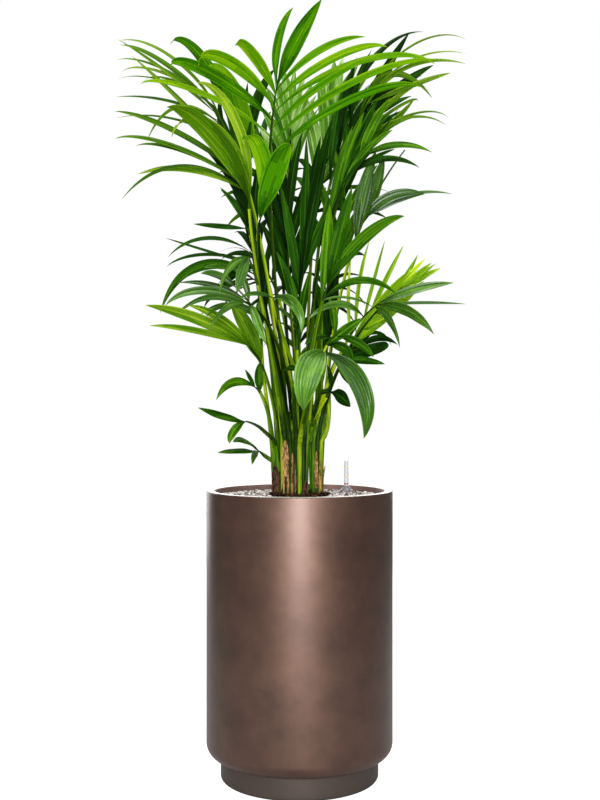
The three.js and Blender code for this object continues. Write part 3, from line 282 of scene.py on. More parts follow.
# Each tone's deep, middle and light green and its tip, as screen colours, then its
# roughness and specular level.
TONES = {
    "bright": ((12, 46, 0), (54, 110, 0), (118, 156, 8), (158, 158, 30), 0.5, 0.02),
    "mid": ((4, 21, 0), (26, 66, 0), (80, 126, 10), (122, 136, 40), 0.5, 0.03),
    "dark": ((2, 12, 0), (12, 44, 0), (46, 94, 8), (92, 106, 30), 0.45, 0.03),
    "olive": ((18, 46, 0), (62, 102, 0), (132, 158, 34), (160, 158, 50), 0.5, 0.05),
    "pale": ((20, 62, 0), (82, 130, 30), (184, 206, 150), (170, 178, 124), 0.6, 0.06),
    # The lime greens are a young leaf's own yellow-green, made lighter still as painted light shining
    # through the leaf.
    "lime": ((44, 84, 0), (112, 150, 8), (194, 210, 66), (190, 198, 92), 0.5, 0.05),
    "glossy": ((14, 38, 0), (42, 82, 4), (92, 134, 44), (124, 136, 56), 0.36, 0.35),
    "petiole": ((6, 20, 0), (54, 90, 0), (158, 180, 20), (150, 166, 30), 0.45, 0.03),
}


def linear(screen):
    """A screen colour, 0 to 255 a channel, as linear light."""
    shares = [c / 255 for c in screen]
    return [c / 12.92 if c <= 0.04045 else ((c + 0.055) / 1.055) ** 2.4 for c in shares]


def put(node, **values):
    """A node with these values in its inputs, whose names have _ for each space."""
    for name, value in values.items():
        node.inputs[name.replace("_", " ")].default_value = value
    return node


def join(source, output, target, field):
    """Links an output of one node to an input of another."""
    source.id_data.links.new(source.outputs[output], target.inputs[field])


def material(name, **values):
    """A new material, its shader with these values, and its nodes."""
    made = bpy.data.materials.new(name)
    made.use_nodes = True
    nodes = made.node_tree.nodes
    return made, put(nodes["Principled BSDF"], **values), nodes


def plain(name, screen, roughness, specular=0.3, coat=0.0):
    """A material of one colour."""
    made, _, _ = material(name, Base_Color=(*linear(screen), 1), Roughness=roughness,
                          Specular_IOR_Level=specular, Coat_Weight=coat)
    return made


def clouds(nodes, stretch=(1, 1, 1), **values):
    """Fractal noise in an object's own space."""
    place = put(nodes.new("ShaderNodeMapping"), Scale=stretch)
    made = put(nodes.new("ShaderNodeTexNoise"), **values)
    join(nodes.new("ShaderNodeTexCoord"), "Object", place, "Vector")
    join(place, "Vector", made, "Vector")
    return made


def tinted(nodes, shader, pattern, *stops):
    """Colours a shader by a pattern, between two stops of level and linear colour."""
    ramp = nodes.new("ShaderNodeValToRGB")
    for element, (level, colour) in zip(ramp.color_ramp.elements, stops):
        element.position = level
        element.color = (*colour, 1)
    join(pattern, "Fac", ramp, "Fac")
    join(ramp, "Color", shader, "Base Color")


def embossed(nodes, shader, pattern, strength, depth):
    """Puts a pattern on a shader in relief, with its depth in metres."""
    bump = put(nodes.new("ShaderNodeBump"), Strength=strength, Distance=depth)
    join(pattern, "Fac", bump, "Height")
    join(bump, "Normal", shader, "Normal")


def ramp_colour(tone, share):
    deep, middle, light = TONES[tone][:3]
    low, high, x = (deep, middle, share * 2) if share < 0.5 else (middle, light, share * 2 - 1)
    return [a + (b - a) * x for a, b in zip(low, high)]


def tone_materials(tone):
    """A tone's shades from deep to light, then its tip."""
    tip, roughness, specular = TONES[tone][3:]
    made = [plain(f"{tone}_{i}", ramp_colour(tone, i / (SHADES - 1)), roughness, specular)
            for i in range(SHADES)]
    return [*made, plain(f"{tone}_tip", tip, roughness + TIP_ROUGHER, specular)]


PALETTE = {tone: tone_materials(tone) for tone in TONES}

# ---- meshes ----

SHARP_FROM = 40  # degrees between faces from which an edge is crisp


def piece(name, points, faces, materials, shades=None, nodes=()):
    """A mesh piece in the frame, from points in millimetres, that stands for CAD nodes."""
    mesh = bpy.data.meshes.new(name)
    mesh.from_pydata(np.asarray(points, float) * MM, [], faces)
    for one in materials:
        mesh.materials.append(one)
    if shades is not None:
        mesh.polygons.foreach_set("material_index", np.asarray(shades, np.int32))
    mesh.polygons.foreach_set("use_smooth", np.full(len(mesh.polygons), True))
    mesh.set_sharp_from_angle(angle=radians(SHARP_FROM))
    mesh.update()
    thing = placed(name, mesh)
    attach(thing, "root")
    if nodes:
        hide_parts(*nodes)


class Bundle:
    """Points, faces and shades of several forms that make one piece."""

    def __init__(self):
        self.points, self.faces, self.shades, self.count = [], [], [], 0

    def add(self, points, faces, shades):
        self.points.append(points)
        self.faces += [[self.count + k for k in face] for face in faces]
        self.shades += shades
        self.count += len(points)

    def piece(self, name, materials, slot, nodes=()):
        piece(name, np.concatenate(self.points), self.faces, materials, self.shades, nodes)


def faces_of(grid, order="abcd"):
    """Faces between neighbours in a grid of point numbers, with their corners in this order."""
    corners = {"a": grid[:-1, :-1], "b": grid[:-1, 1:], "c": grid[1:, 1:], "d": grid[1:, :-1]}
    return np.stack([corners[key] for key in order], axis=-1).reshape(-1, 4).tolist()


def rings_of(count, sides):
    """Point numbers of rings, each closed on its first point."""
    return np.pad(np.arange(count * sides).reshape(count, sides), ((0, 0), (0, 1)), "wrap")


def unit(v):
    return v / np.linalg.norm(v)


def units(rows):
    """Vectors, one to a row, each made one long."""
    return rows / np.linalg.norm(rows, axis=1)[:, None]


def smoothstep(low, high, x):
    t = np.clip((x - low) / (high - low), 0, 1)
    return t * t * (3 - 2 * t)


def turned_about(v, axis, angle):
    return (v * cos(angle) + np.cross(axis, v) * sin(angle)
            + axis * np.dot(axis, v) * (1 - cos(angle)))


# ---- the growth rule, as in the part's source ----

MOST_RIB_STEPS = 4
# Ways for a petiole to bow, sideways and outwards, from the least.
BOWS = [(0, 0), *((size * x, size * y) for size in (0.12, 0.24, 0.36, 0.5, 0.65) for x, y in (
    (1, 0), (-1, 0), (0, 1), (0, -1), (0.7, 0.7), (-0.7, 0.7), (0.7, -0.7), (-0.7, -0.7)))]
RING_TURNS = 72  # how finely a ring of petiole feet is turned to fit
TIP_SPREAD = 0.07  # how far the tips of a row scatter, for their length
WIDTH_SPREAD, ARCH_SPREAD, TWIST_SPREAD = 0.2, 0.4, 0.6
LEAFLET_SEED, FROND_SEED = 1000, 5000


def seeded(seed):
    """A small seeded generator, the same as the source's."""
    state = seed

    def random():
        nonlocal state
        state = (state + 0x6D2B79F5) & 0xFFFFFFFF
        t = state
        t = ((t ^ (t >> 15)) * (t | 1)) & 0xFFFFFFFF
        t ^= (t + ((t ^ (t >> 7)) * (t | 61))) & 0xFFFFFFFF
        return ((t ^ (t >> 14)) & 0xFFFFFFFF) / 4294967296

    return random


def hermite(a, tangent_a, b, tangent_b, steps):
    """A curve from a to b in even steps of its parameter."""
    reach = np.linalg.norm(b - a)
    s = np.linspace(0, 1, steps + 1)[:, None]
    return (a * (2 * s**3 - 3 * s**2 + 1) + tangent_a * reach * (s**3 - 2 * s**2 + s)
            + b * (3 * s**2 - 2 * s**3) + tangent_b * reach * (s**3 - s**2))


def stalk_line(foot, throat, end, tangents, steps, rib_steps, rib_end):
    """A petiole and its rib as one line, with their radii."""
    at_foot, at_throat, at_end = tangents
    petiole = hermite(foot, at_foot, throat, at_throat, steps)
    rib = hermite(throat, at_throat, end, at_end, rib_steps)
    radii = [np.linspace(FOOT_OF_PETIOLE, THROAT_OF_PETIOLE, steps + 1),
             np.linspace(THROAT_OF_PETIOLE, rib_end, rib_steps + 1)[1:]]
    return np.concatenate([petiole, rib[1:]]), np.concatenate(radii), rib


def midribs(foot, throat, end, bow):
    """Tangents of the petiole at its foot and throat, and of the rib at its end."""
    sideways, outwards = bow
    rise = unit(throat - foot)
    chord = unit(end - throat)
    out = unit(np.array([rise[0], rise[1], 0.0]))
    at_foot = unit(UP * 0.6 + rise * 0.4 + out * outwards + np.cross(UP, out) * sideways)
    at_throat = unit(rise + chord)
    at_end = unit(chord * (2 * np.dot(chord, at_throat)) - at_throat)
    return at_foot, at_throat, at_end


def bead_string(line, radii):
    """Beads along a petiole and rib: their places and the radius there."""
    rows = np.column_stack([line, radii])
    beads = []
    for a, b in zip(rows, rows[1:]):
        steps = ceil(np.linalg.norm(b[:3] - a[:3]) / BEAD_STEP)
        beads.append(a + (b - a) * (np.arange(steps) / steps)[:, None])
    return np.concatenate(beads)


def bead_gap(a, b):
    apart = np.linalg.norm(a[:, None, :3] - b[None, :, :3], axis=2)
    return (apart - a[:, None, 3] - b[None, :, 3]).min()


def set_petiole(foot, throat, end, before):
    """The bow that keeps a petiole clear of those set before it."""
    best = None
    steps = max(1, min(MOST_RIB_STEPS, int(np.linalg.norm(end - throat) / RIB_STEP + 0.5)))
    for bow in BOWS:
        tangents = midribs(foot, throat, end, bow)
        line, radii, rib = stalk_line(foot, throat, end, tangents, PETIOLE_STEPS, steps, END_OF_RIB)
        string = bead_string(line, radii)
        gap = min([bead_gap(string, other) for other in before], default=inf)
        if best is None or gap > best.gap:
            best = SimpleNamespace(gap=gap, string=string, rib=rib, tangents=tangents)
        if gap > PETIOLE_GAP:
            break
    return best


def foot_ring(count):
    """Radius of the ring that petiole feet stand on, round the one in the middle."""
    if count < 1:
        return 0
    return max(PETIOLE_SPACING, PETIOLE_SPACING / (2 * sin(pi / max(count, 2))))


def feet_of(palm, fronds):
    """Feet of a palm's fronds on its flat top, by frond name."""
    x, y, _, top = PALMS[palm]

    def lean(frond):
        throat = frond[3]
        return hypot(throat[0] - x, throat[1] - y) / max(50, throat[2] - top)

    def azimuth(frond):
        return atan2(frond[3][1] - y, frond[3][0] - x)

    middle, *others = sorted(fronds, key=lean)
    others.sort(key=azimuth)
    level = top + CLEARANCE
    feet = {middle[0]: np.array([x, y, level], float)}
    ring = foot_ring(len(others))

    def turn(start, i):
        return start + 2 * pi * i / len(others)

    def misfit(start):
        gaps = [turn(start, i) - azimuth(frond) for i, frond in enumerate(others)]
        return round(sum(abs(remainder(gap, 2 * pi)) for gap in gaps), 9)

    best = min((2 * i * pi / RING_TURNS for i in range(RING_TURNS)), key=misfit)
    for i, frond in enumerate(others):
        angle = turn(best, i)
        feet[frond[0]] = np.array([x + ring * cos(angle), y + ring * sin(angle), level])
    return feet


def point_on(line, share):
    x = share * (len(line) - 1)
    i = min(int(x), len(line) - 2)
    step = line[i + 1] - line[i]
    return line[i] + step * (x - i), unit(step)


def tip_at(tips, t):
    """The tip at a share of the way along the line or curve of a row's tips."""
    a, *rest = np.reshape(tips, (-1, 3)).astype(float)
    if not rest:
        return a
    if len(rest) == 1:
        return a + (rest[0] - a) * t
    return a * (1 - t) * (1 - 2 * t) + rest[0] * 4 * t * (1 - t) + rest[1] * t * (2 * t - 1)


def leaflets_of(rows, rib, seed):
    """The leaflets of a frond: root, tangent there, tip, width, arch, hook and twist."""
    random = seeded(seed)
    leaflets = []
    for place, width, arch, hook, *tips in rows:
        count, start, end = place if isinstance(place, tuple) else (1, place, place)
        several = count > 1
        for k in range(count):
            t = k / (count - 1) if several else 0
            root, tangent = point_on(rib, start / 100 + (end / 100 - start / 100) * t)
            tip = tip_at(tips, t)
            spread = np.linalg.norm(tip - root) * TIP_SPREAD * several
            tip = tip + np.array([random() - 0.5, random() - 0.5, random() - 0.5]) * spread
            leaflets.append(SimpleNamespace(
                root=root, tangent=tangent, tip=tip, hook=hook / 100,
                width=width * (1 + several * WIDTH_SPREAD * (random() - 0.5)),
                arch=arch / 100 * (1 + several * ARCH_SPREAD * (random() - 0.5)),
                twist=(random() - 0.5) * TWIST_SPREAD,
            ))
    return leaflets


def facing(leaflets, throat, end, turn):
    """The way a blade faces: square to its rib and leaflets, then turned."""
    out = unit(np.array([throat[0], throat[1], 0.0]))
    inward = unit(UP - out * 0.6)
    face = inward * 0.15
    for leaflet in leaflets:
        square = np.cross(leaflet.tangent, unit(leaflet.tip - leaflet.root))
        face = face + square * (-1 if np.dot(square, inward) < 0 else 1)
    return turned_about(unit(face), unit(end - throat), radians(turn))


def grow():
    """Every frond, with its petiole, rib, leaflets and face."""
    feet = {}
    for palm in PALMS:
        feet.update(feet_of(palm, [frond for frond in FRONDS if frond[1] == palm]))
    strings, grown = [], []
    for index, (name, palm, tone, throat, end, turn, *rows) in enumerate(FRONDS):
        throat, end = np.array(throat, float), np.array(end, float)
        petiole = set_petiole(feet[name], throat, end, strings)
        strings.append(petiole.string)
        leaflets = leaflets_of(rows, petiole.rib, LEAFLET_SEED + index)
        grown.append(SimpleNamespace(
            name=name, palm=palm, tone=tone, foot=feet[name], throat=throat, end=end,
            tangents=petiole.tangents, leaflets=leaflets,
            face=facing(leaflets, throat, end, turn), seed=FROND_SEED + index,
        ))
    return grown


# ---- leaflets ----

ROW_LENGTH = 9  # of leaflet to a row of faces
COLUMN_WIDTH = 1.7  # of leaflet to a column of faces
TIP_FROM = 0.985  # share of a blade from which its point closes it
WIDEST_AT = 0.42  # share of a leaflet where it is widest
PLEAT_WIDTH = 6.5
LEAF_DEPTH = 0.7  # thickness in the middle of a leaflet
ROOT_FOLD, OPEN_FOLD = 54, 14  # degrees that its halves fold down, at the root and on
CURL = 1.1  # most that a tip is turned, in radians from side to side
BAND_WIDTH = 4  # of a leaflet to a streak of one green
BROAD = 8  # half width from which a midrib and pale margins show
MIDDLE_SHADE = 2.9
LEAF_RANGE, STREAK_RANGE = 2.4, 1.5  # shades between leaflets, and between their streaks


def width_profile(s):
    """A leaflet's width along its length, as a share of its greatest width."""
    base = 0.16 + 0.84 * np.sin(np.clip(s / WIDEST_AT, 0, 1) * pi / 2) ** 1.1
    tip = 1 - np.clip((s - WIDEST_AT) / (1 - WIDEST_AT), 0, 1) ** 2.3
    return np.minimum(base, 1) * tip


def leaflet_surface(leaflet, face, random):
    """The upper and lower sheets of a leaflet as grids, with shares along and across."""
    root, tip, width = leaflet.root, leaflet.tip, leaflet.width
    chord = tip - root
    length = np.linalg.norm(chord)
    direction = chord / length
    lift = UP + leaflet.tangent * 0.7
    lift = unit(lift - direction * np.dot(lift, direction)) * leaflet.arch * length
    one = root + chord * 0.33 + lift
    two = root + chord * (0.72 + leaflet.hook) + lift * 0.9
    rows = int(np.clip(round(length / ROW_LENGTH), 12, 36))
    columns = 2 * int(np.clip(round(width / COLUMN_WIDTH / 2), 3, 12))
    s = np.linspace(0, TIP_FROM, rows + 1)[:, None]
    u = np.linspace(-1, 1, columns + 1)[None, :]
    q = 1 - s
    centre = root * q**3 + one * 3 * q**2 * s + two * 3 * q * s**2 + tip * s**3
    heading = units((one - root) * q**2 + (two - one) * 2 * q * s + (tip - two) * s**2)
    square = unit(face - direction * np.dot(face, direction))
    across = turned_about(np.cross(direction, square), direction, leaflet.twist)
    side = units(across - heading * (heading @ across)[:, None])
    up = np.cross(side, heading)
    curl = (random() - 0.5) * CURL * s**1.5
    side, up = side * np.cos(curl) + up * np.sin(curl), up * np.cos(curl) - side * np.sin(curl)
    half = width / 2 * width_profile(s)
    fold = np.radians(ROOT_FOLD - (ROOT_FOLD - OPEN_FOLD) * smoothstep(0, 0.3, s))
    pleats = max(1, round(width / 2 / PLEAT_WIDTH))
    pleat = (0.25 + 0.012 * width) * np.cos(2 * pi * pleats * np.abs(u)) * smoothstep(0, 0.2, s)
    wave = 0.02 * width * np.sin(2 * pi * (2.2 * s + random()) + 1.5 * u) * u**2
    height = -np.abs(u) * half * np.sin(fold) + (pleat + wave) * np.minimum(1, half / 5)
    spread = u * half * np.cos(fold)
    upper = centre[:, None] + side[:, None] * spread[..., None] + up[:, None] * height[..., None]
    depth = LEAF_DEPTH * (1 - u**4) * (1 - 0.6 * s)
    lower = upper - up[:, None] * depth[..., None]
    return upper, lower, s, u, half


def whole_shades(shade):
    return np.clip(np.round(shade), 0, SHADES - 1).astype(int).ravel()


def leaf_shades(s, u, half, random, under):
    """Which green of its tone each face of a leaflet takes."""
    s = (s[:-1] + s[1:]) / 2
    u = (u[:, :-1] + u[:, 1:]) / 2
    columns = u.shape[1]
    whole = (random() - 0.5) * LEAF_RANGE
    bands = max(2, round(2 * half.max() / BAND_WIDTH))
    dealt = [(random() - 0.5) * STREAK_RANGE for _ in range(bands)]
    streaks = np.array([dealt[min(bands - 1, int((k + 0.5) / columns * bands))]
                        for k in range(columns)])[None, :]
    drift = np.sin(2 * pi * (s * 1.3 + random()) + 2.2 * u) * 0.5
    shade = MIDDLE_SHADE + whole + streaks + drift
    shade = shade - 1.6 * (1 - smoothstep(0, 0.35, s)) + 0.9 * smoothstep(0.6, 1, s)
    if half.max() > BROAD:
        shade = shade + 0.7 * (np.abs(u) > 0.86) + 1.2 * (np.abs(u) < 1.6 / columns)
    return whole_shades(shade + 0.5 * under)


def closed_blade(upper, lower, tip):
    """Points and faces of a thin closed blade, and how many of the faces close its ends."""
    points = np.concatenate([upper.reshape(-1, 3), lower[:, 1:-1].reshape(-1, 3), tip[None]])
    rows, columns = upper.shape[:2]
    top = np.arange(rows * columns).reshape(rows, columns)
    under = top.copy()
    under[:, 1:-1] = top.size + np.arange(rows * (columns - 2)).reshape(rows, -1)
    apex = len(points) - 1
    ends = []
    for j in range(columns - 1):
        ends.append([top[-1, j], top[-1, j + 1], apex])
        ends.append([under[-1, j + 1], under[-1, j], apex])
        cap = [top[0, j + 1], top[0, j], under[0, j], under[0, j + 1]]
        ends.append(list(dict.fromkeys(cap)))
    return points, faces_of(top) + faces_of(under, "badc") + ends, len(ends)


def frond_blades(frond):
    """All the leaflets of a frond as one piece."""
    random = seeded(frond.seed)
    blades = Bundle()
    for leaflet in frond.leaflets:
        upper, lower, s, u, half = leaflet_surface(leaflet, frond.face, random)
        points, faces, ends = closed_blade(upper, lower, leaflet.tip)
        shades = [*leaf_shades(s, u, half, random, False), *leaf_shades(s, u, half, random, True)]
        blades.add(points, faces, shades + [TIP] * ends)
    blades.piece(f"leaflets_{frond.name}", PALETTE[frond.tone], f"leaf_{frond.tone}",
                 [f"frond_{frond.name}"])


# ---- petioles and ribs ----

ROD_SIDES = 10
PETIOLE_ROWS, RIB_ROWS = 30, 12
PETIOLE_SWELL = 0.4  # how much a petiole swells towards its foot
GROOVE = 0.42  # depth of the groove along it, as a share of its radius
RIB_FROM = 0.71  # share of a stalk from which it is the darker rib
STALK_SEED = 500
STALK_ENDS = [0, 3]  # shades of its two end faces


def rod_line(frond):
    """The petiole and rib as a fine line, with their radii."""
    line, radii, _ = stalk_line(frond.foot, frond.throat, frond.end, frond.tangents,
                                PETIOLE_ROWS, RIB_ROWS, END_OF_RIB * 0.7)
    above = line[:, 2] - frond.foot[2]
    fleshy = 1.12 + PETIOLE_SWELL * (1 - smoothstep(0, 260, above))
    rounded = 0.45 + 0.55 * smoothstep(-4, 16, above)
    return line, radii * fleshy * rounded


def tube(line, radii, sides, groove=None):
    """Points and faces of a rod round a line, with a groove on one side of it."""
    headings = units(np.gradient(line, axis=0))
    side = np.array([1.0, 0.0, 0.0])
    rings = []
    angles = np.linspace(0, 2 * pi, sides, endpoint=False)
    for centre, heading, radius in zip(line, headings, radii):
        side = unit(side - heading * np.dot(side, heading))
        other = np.cross(heading, side)
        share = np.ones(sides)
        if groove is not None:
            flat = unit(groove - heading * np.dot(groove, heading))
            lean = np.cos(angles) * np.dot(flat, side) + np.sin(angles) * np.dot(flat, other)
            share = 1 - GROOVE * np.clip(lean, 0, 1) ** 3
        arms = np.outer(np.cos(angles), side) + np.outer(np.sin(angles), other)
        rings.append(centre + arms * (radius * share)[:, None])
    grid = rings_of(len(line), sides)
    ends = [grid[0, -2::-1].tolist(), grid[-1, :-1].tolist()]
    return np.concatenate(rings), faces_of(grid) + ends


def frond_stalk(frond):
    """A frond's petiole and rib as one grooved rod, in bands of green, with painted light and shade:
    lighter towards one side of the rod and darker on the other.
    """
    random = seeded(frond.seed + STALK_SEED)
    line, radii = rod_line(frond)
    points, faces = tube(line, radii, ROD_SIDES, frond.face)
    whole = (random() - 0.5) * 3.6
    # Painted light and shade round the rod: its faces are lighter towards one side and darker opposite,
    # with random streaks added.
    painted_lit_side = random() * 2 * pi
    painted_light_and_streaks = np.array([1.7 * cos(2 * pi * k / ROD_SIDES - painted_lit_side) + (random() - 0.5)
                       for k in range(ROD_SIDES)])
    along = np.linspace(0, 1, len(line) - 1)[:, None]
    shade = 3.2 + whole + painted_light_and_streaks[None, :] + 0.6 * np.sin(7 * along + 5 * random())
    shade = np.where(along > RIB_FROM, np.minimum(shade, 3.4) - 1, shade)
    shades = [*whole_shades(shade), *STALK_ENDS]
    piece(f"stalk_{frond.name}", points, faces, PALETTE["petiole"], shades)


# ---- planter ----

RIM_ROUND = 2
SHELL_DEPTH = 2  # thickness of each planter piece's skin
HIDDEN_LIP = 6  # how far the body's skin runs in over the foot
INSIDE_FLOOR = FOOT_HEIGHT + 20
PLANTER_HUB, GAUGE_HUB = 0.5, 0.4  # radius of the hole that a turned profile leaves

# Each finish: screen colour, roughness, mottling, metallic and coat.
FINISHES = {
    "bronze_body": ((93, 67, 55), 0.5, 0.26, 0.88, 0.6),
    # The rim's near-white colour is a painted highlight: the light its bronze reflects, painted into its
    # colour.
    "rim_painted_highlight": ((240, 236, 232), 0.4, 0.02, 0.3, 0),
    "bronze_inside": ((128, 104, 94), 0.5, 0.08, 0.4, 0),
    "bronze_foot": ((80, 69, 63), 0.5, 0.06, 0.5, 0),
}


def bronze(name):
    """Lacquered metal: soft mottling in its colour and gloss, and a fine grain."""
    screen, roughness, mottle, metallic, coat = FINISHES[name]
    made, shader, nodes = material(name, Metallic=metallic, Coat_Weight=coat, Coat_Roughness=0.38)
    mottling = clouds(nodes, (1, 1, 1.1), Scale=14, Detail=8, Roughness=0.62)
    base = linear(screen)
    tinted(nodes, shader, mottling, (0.3, [c * (1 - mottle) for c in base]),
           (0.7, [c * (1 + mottle) for c in base]))
    gloss = put(nodes.new("ShaderNodeMapRange"), To_Min=roughness - 0.02, To_Max=roughness + 0.02)
    join(mottling, "Fac", gloss, "Value")
    join(gloss, "Result", shader, "Roughness")
    embossed(nodes, shader, clouds(nodes, Scale=240, Detail=3), 0.05, 0.0006)
    return made


def arc(radius, height, size, start, stop, steps):
    """Points of a quarter round in a profile."""
    angles = np.radians(np.linspace(start, stop, steps + 1))
    return [(radius + size * cos(a), height + size * sin(a)) for a in angles]


def lathe(name, profile, finish, nodes=(), x=0, y=0, segments=160):
    """A closed profile of radius and height, turned about the vertical."""
    angles = np.linspace(0, 2 * pi, segments, endpoint=False)
    radii, heights = np.array(profile, float).T
    points = np.stack([
        x + np.outer(np.cos(angles), radii),
        y + np.outer(np.sin(angles), radii),
        np.broadcast_to(heights, (segments, len(radii))),
    ], axis=-1).reshape(-1, 3)
    grid = rings_of(segments, len(radii))
    faces = faces_of(np.concatenate([grid, grid[:1]]), "adcb")
    piece(name, points, faces, [finish], nodes=nodes)


def planter():
    """The planter's body, rim, inner wall and foot, each its own finish; the rim's near-white is a
    painted highlight.
    """
    edge = PLANTER_HEIGHT - RIM_ROUND
    lower = FOOT_HEIGHT + LOWER_ROUND
    turn = PLANTER_RADIUS - LOWER_ROUND
    skin = PLANTER_RADIUS - SHELL_DEPTH
    seat = FOOT_HEIGHT + SHELL_DEPTH
    hidden = FOOT_RADIUS - HIDDEN_LIP
    outer_edge, inner_edge = PLANTER_RADIUS - RIM_ROUND, INNER_RADIUS + RIM_ROUND
    wall = INNER_RADIUS + SHELL_DEPTH
    body = [*arc(turn, lower, LOWER_ROUND, -90, 0, 14),
            *arc(outer_edge, edge, RIM_ROUND, 0, 90, 5), (skin, edge - SHELL_DEPTH),
            (skin, lower), (turn, seat), (hidden, seat), (hidden, FOOT_HEIGHT)]
    rim = [(outer_edge, edge), (outer_edge, PLANTER_HEIGHT), (inner_edge, PLANTER_HEIGHT),
           (inner_edge, edge)]
    inside = [*arc(inner_edge, edge, RIM_ROUND, 90, 180, 5), (INNER_RADIUS, INSIDE_FLOOR),
              (PLANTER_HUB, INSIDE_FLOOR), (PLANTER_HUB, INSIDE_FLOOR - SHELL_DEPTH),
              (wall, INSIDE_FLOOR - SHELL_DEPTH), (wall, edge - SHELL_DEPTH)]
    foot = [(PLANTER_HUB, 0), *arc(FOOT_RADIUS - FOOT_ROUND, FOOT_ROUND, FOOT_ROUND, -90, 0, 6),
            (FOOT_RADIUS, FOOT_HEIGHT), (PLANTER_HUB, FOOT_HEIGHT)]
    lathe("planter_body", body, bronze("bronze_body"), ["planter"])
    # The rim takes the painted highlight finish.
    lathe("planter_rim", rim, bronze("rim_painted_highlight"))
    lathe("planter_inside", inside, bronze("bronze_inside"))
    lathe("planter_foot", foot, bronze("bronze_foot"))


# ---- soil, pebbles and gauge ----

SOIL_RINGS, SOIL_SPOKES = 46, 160
MOUND_SPREAD = 84  # radius where the mound has run out
SOIL_REACH = INNER_RADIUS * 0.995
SOIL_SINK, SOIL_RELIEF = 1.5, 2.6
SOIL_GRAIN = 0.09

PEBBLE_COLOURS = ((222, 216, 210), (176, 168, 162), (128, 118, 112), (84, 72, 66), (46, 38, 34))
PEBBLE_SHARES = (0.3, 0.58, 0.78, 0.92, 1)
PEBBLE_SIZE = 3.4
CRUMB_COLOURS = ((22, 13, 8), (48, 30, 19), (84, 58, 38))
CRUMB_SHARES = (0.45, 0.85, 1)
CRUMB_SIZE = 2.6
PACKING = 0.86  # distance between stones, for the width of one
ROW_PACKING = 0.87  # distance between their rows, for the distance in a row
SCATTER = 0.5  # how far a stone strays from its place in the row
HEAP = 2.4  # how much higher the highest stones lie
MOST_TURN, MOST_TILT = 6.28, 1.6
UNEVEN = 0.12  # how far a stone is from an egg


def potting_soil():
    made, shader, nodes = material("potting_soil", Roughness=0.95)
    crumbs = clouds(nodes, Scale=160, Detail=5)
    tinted(nodes, shader, crumbs, (0.35, linear((20, 14, 9))), (0.72, linear((92, 66, 48))))
    embossed(nodes, shader, crumbs, 0.8, 0.002)
    return made


def soil():
    """The mound of potting soil, with crumbs in relief, over the filled planter."""
    points = []
    for i in range(SOIL_RINGS + 1):
        radius = SOIL_REACH * (i / SOIL_RINGS) ** 0.8 + 0.01
        mound = 1 - smoothstep(MOUND_TOP_RADIUS - 8, MOUND_SPREAD, radius)
        for j in range(SOIL_SPOKES):
            angle = 2 * pi * j / SOIL_SPOKES
            x, y = radius * cos(angle), radius * sin(angle)
            rough = noise.fractal(Vector((x, y, 0)) * SOIL_GRAIN, 0.8, 2.0, 5)
            height = SOIL_TOP + (MOUND_TOP - SOIL_TOP) * mound - SOIL_SINK + SOIL_RELIEF * rough
            points.append((x, y, height))
    faces = faces_of(rings_of(SOIL_RINGS + 1, SOIL_SPOKES), "adcb")
    piece("potting_soil", points, faces, [potting_soil()], nodes=["growing_medium"])


def ball():
    """Points and faces of a small round stone, before it is squashed and bent."""
    shape = bmesh.new()
    bmesh.ops.create_icosphere(shape, subdivisions=2, radius=1)
    points = np.array([v.co for v in shape.verts])
    faces = [[v.index for v in face.verts] for face in shape.faces]
    shape.free()
    return points, faces


def scatter(name, seed, size, reach, level, paints, shares, slot, nodes=()):
    """Loose stones or crumbs over a ring, each squashed, turned and dealt a colour."""
    random = seeded(seed)
    shape, faces = ball()
    loose = Bundle()
    spacing = 2 * size * PACKING
    rows = int(reach[1] / spacing) + 1
    for i in range(-rows, rows + 1):
        for j in range(-rows, rows + 1):
            x = (i + 0.5 * (j % 2) + (random() - 0.5) * SCATTER) * spacing
            y = (j * ROW_PACKING + (random() - 0.5) * SCATTER) * spacing
            own = size * (0.7 + 0.55 * random())
            axes = np.array([1.0, 0.7 + 0.3 * random(), 0.55 + 0.3 * random()]) * own
            turn, tilt = random() * MOST_TURN, (random() - 0.5) * MOST_TILT
            pick, lift = random(), random()
            if not reach[0] < hypot(x, y) < reach[1] - own - 0.5:
                continue
            bent = shape * axes * (1 + UNEVEN * np.sin(5 * shape[:, [1, 2, 0]] + 6 * pick))
            c, s = cos(tilt), sin(tilt)
            bent = bent @ np.array([[1, 0, 0], [0, c, -s], [0, s, c]])
            c, s = cos(turn), sin(turn)
            bent = bent @ np.array([[c, -s, 0], [s, c, 0], [0, 0, 1]])
            shade = next(n for n, share in enumerate(shares) if pick <= share)
            loose.add(bent + [x, y, level + HEAP * lift], faces, [shade] * len(faces))
    loose.piece(name, paints, slot, nodes)


def pebbles():
    """The pebbles on the bed, and the crumbs of soil round the stems."""
    stones = [plain(f"pebble_{i}", c, 0.6) for i, c in enumerate(PEBBLE_COLOURS)]
    crumbs = [plain(f"crumb_{i}", c, 0.95, 0.05) for i, c in enumerate(CRUMB_COLOURS)]
    scatter("pebbles", 77, PEBBLE_SIZE, (MOUND_FOOT_RADIUS - 6, INNER_RADIUS), PEBBLE_TOP - 3.2,
            stones, PEBBLE_SHARES, "pebbles", ["pebble_bed"])
    scatter("soil_crumbs", 78, CRUMB_SIZE, (0, MOUND_FOOT_RADIUS), MOUND_TOP - 2.2,
            crumbs, CRUMB_SHARES, "soil")


def gauge_part(name, profile, finish, nodes=(), segments=32):
    lathe(f"gauge_{name}", profile, finish, nodes, GAUGE_X, GAUGE_Y, segments)


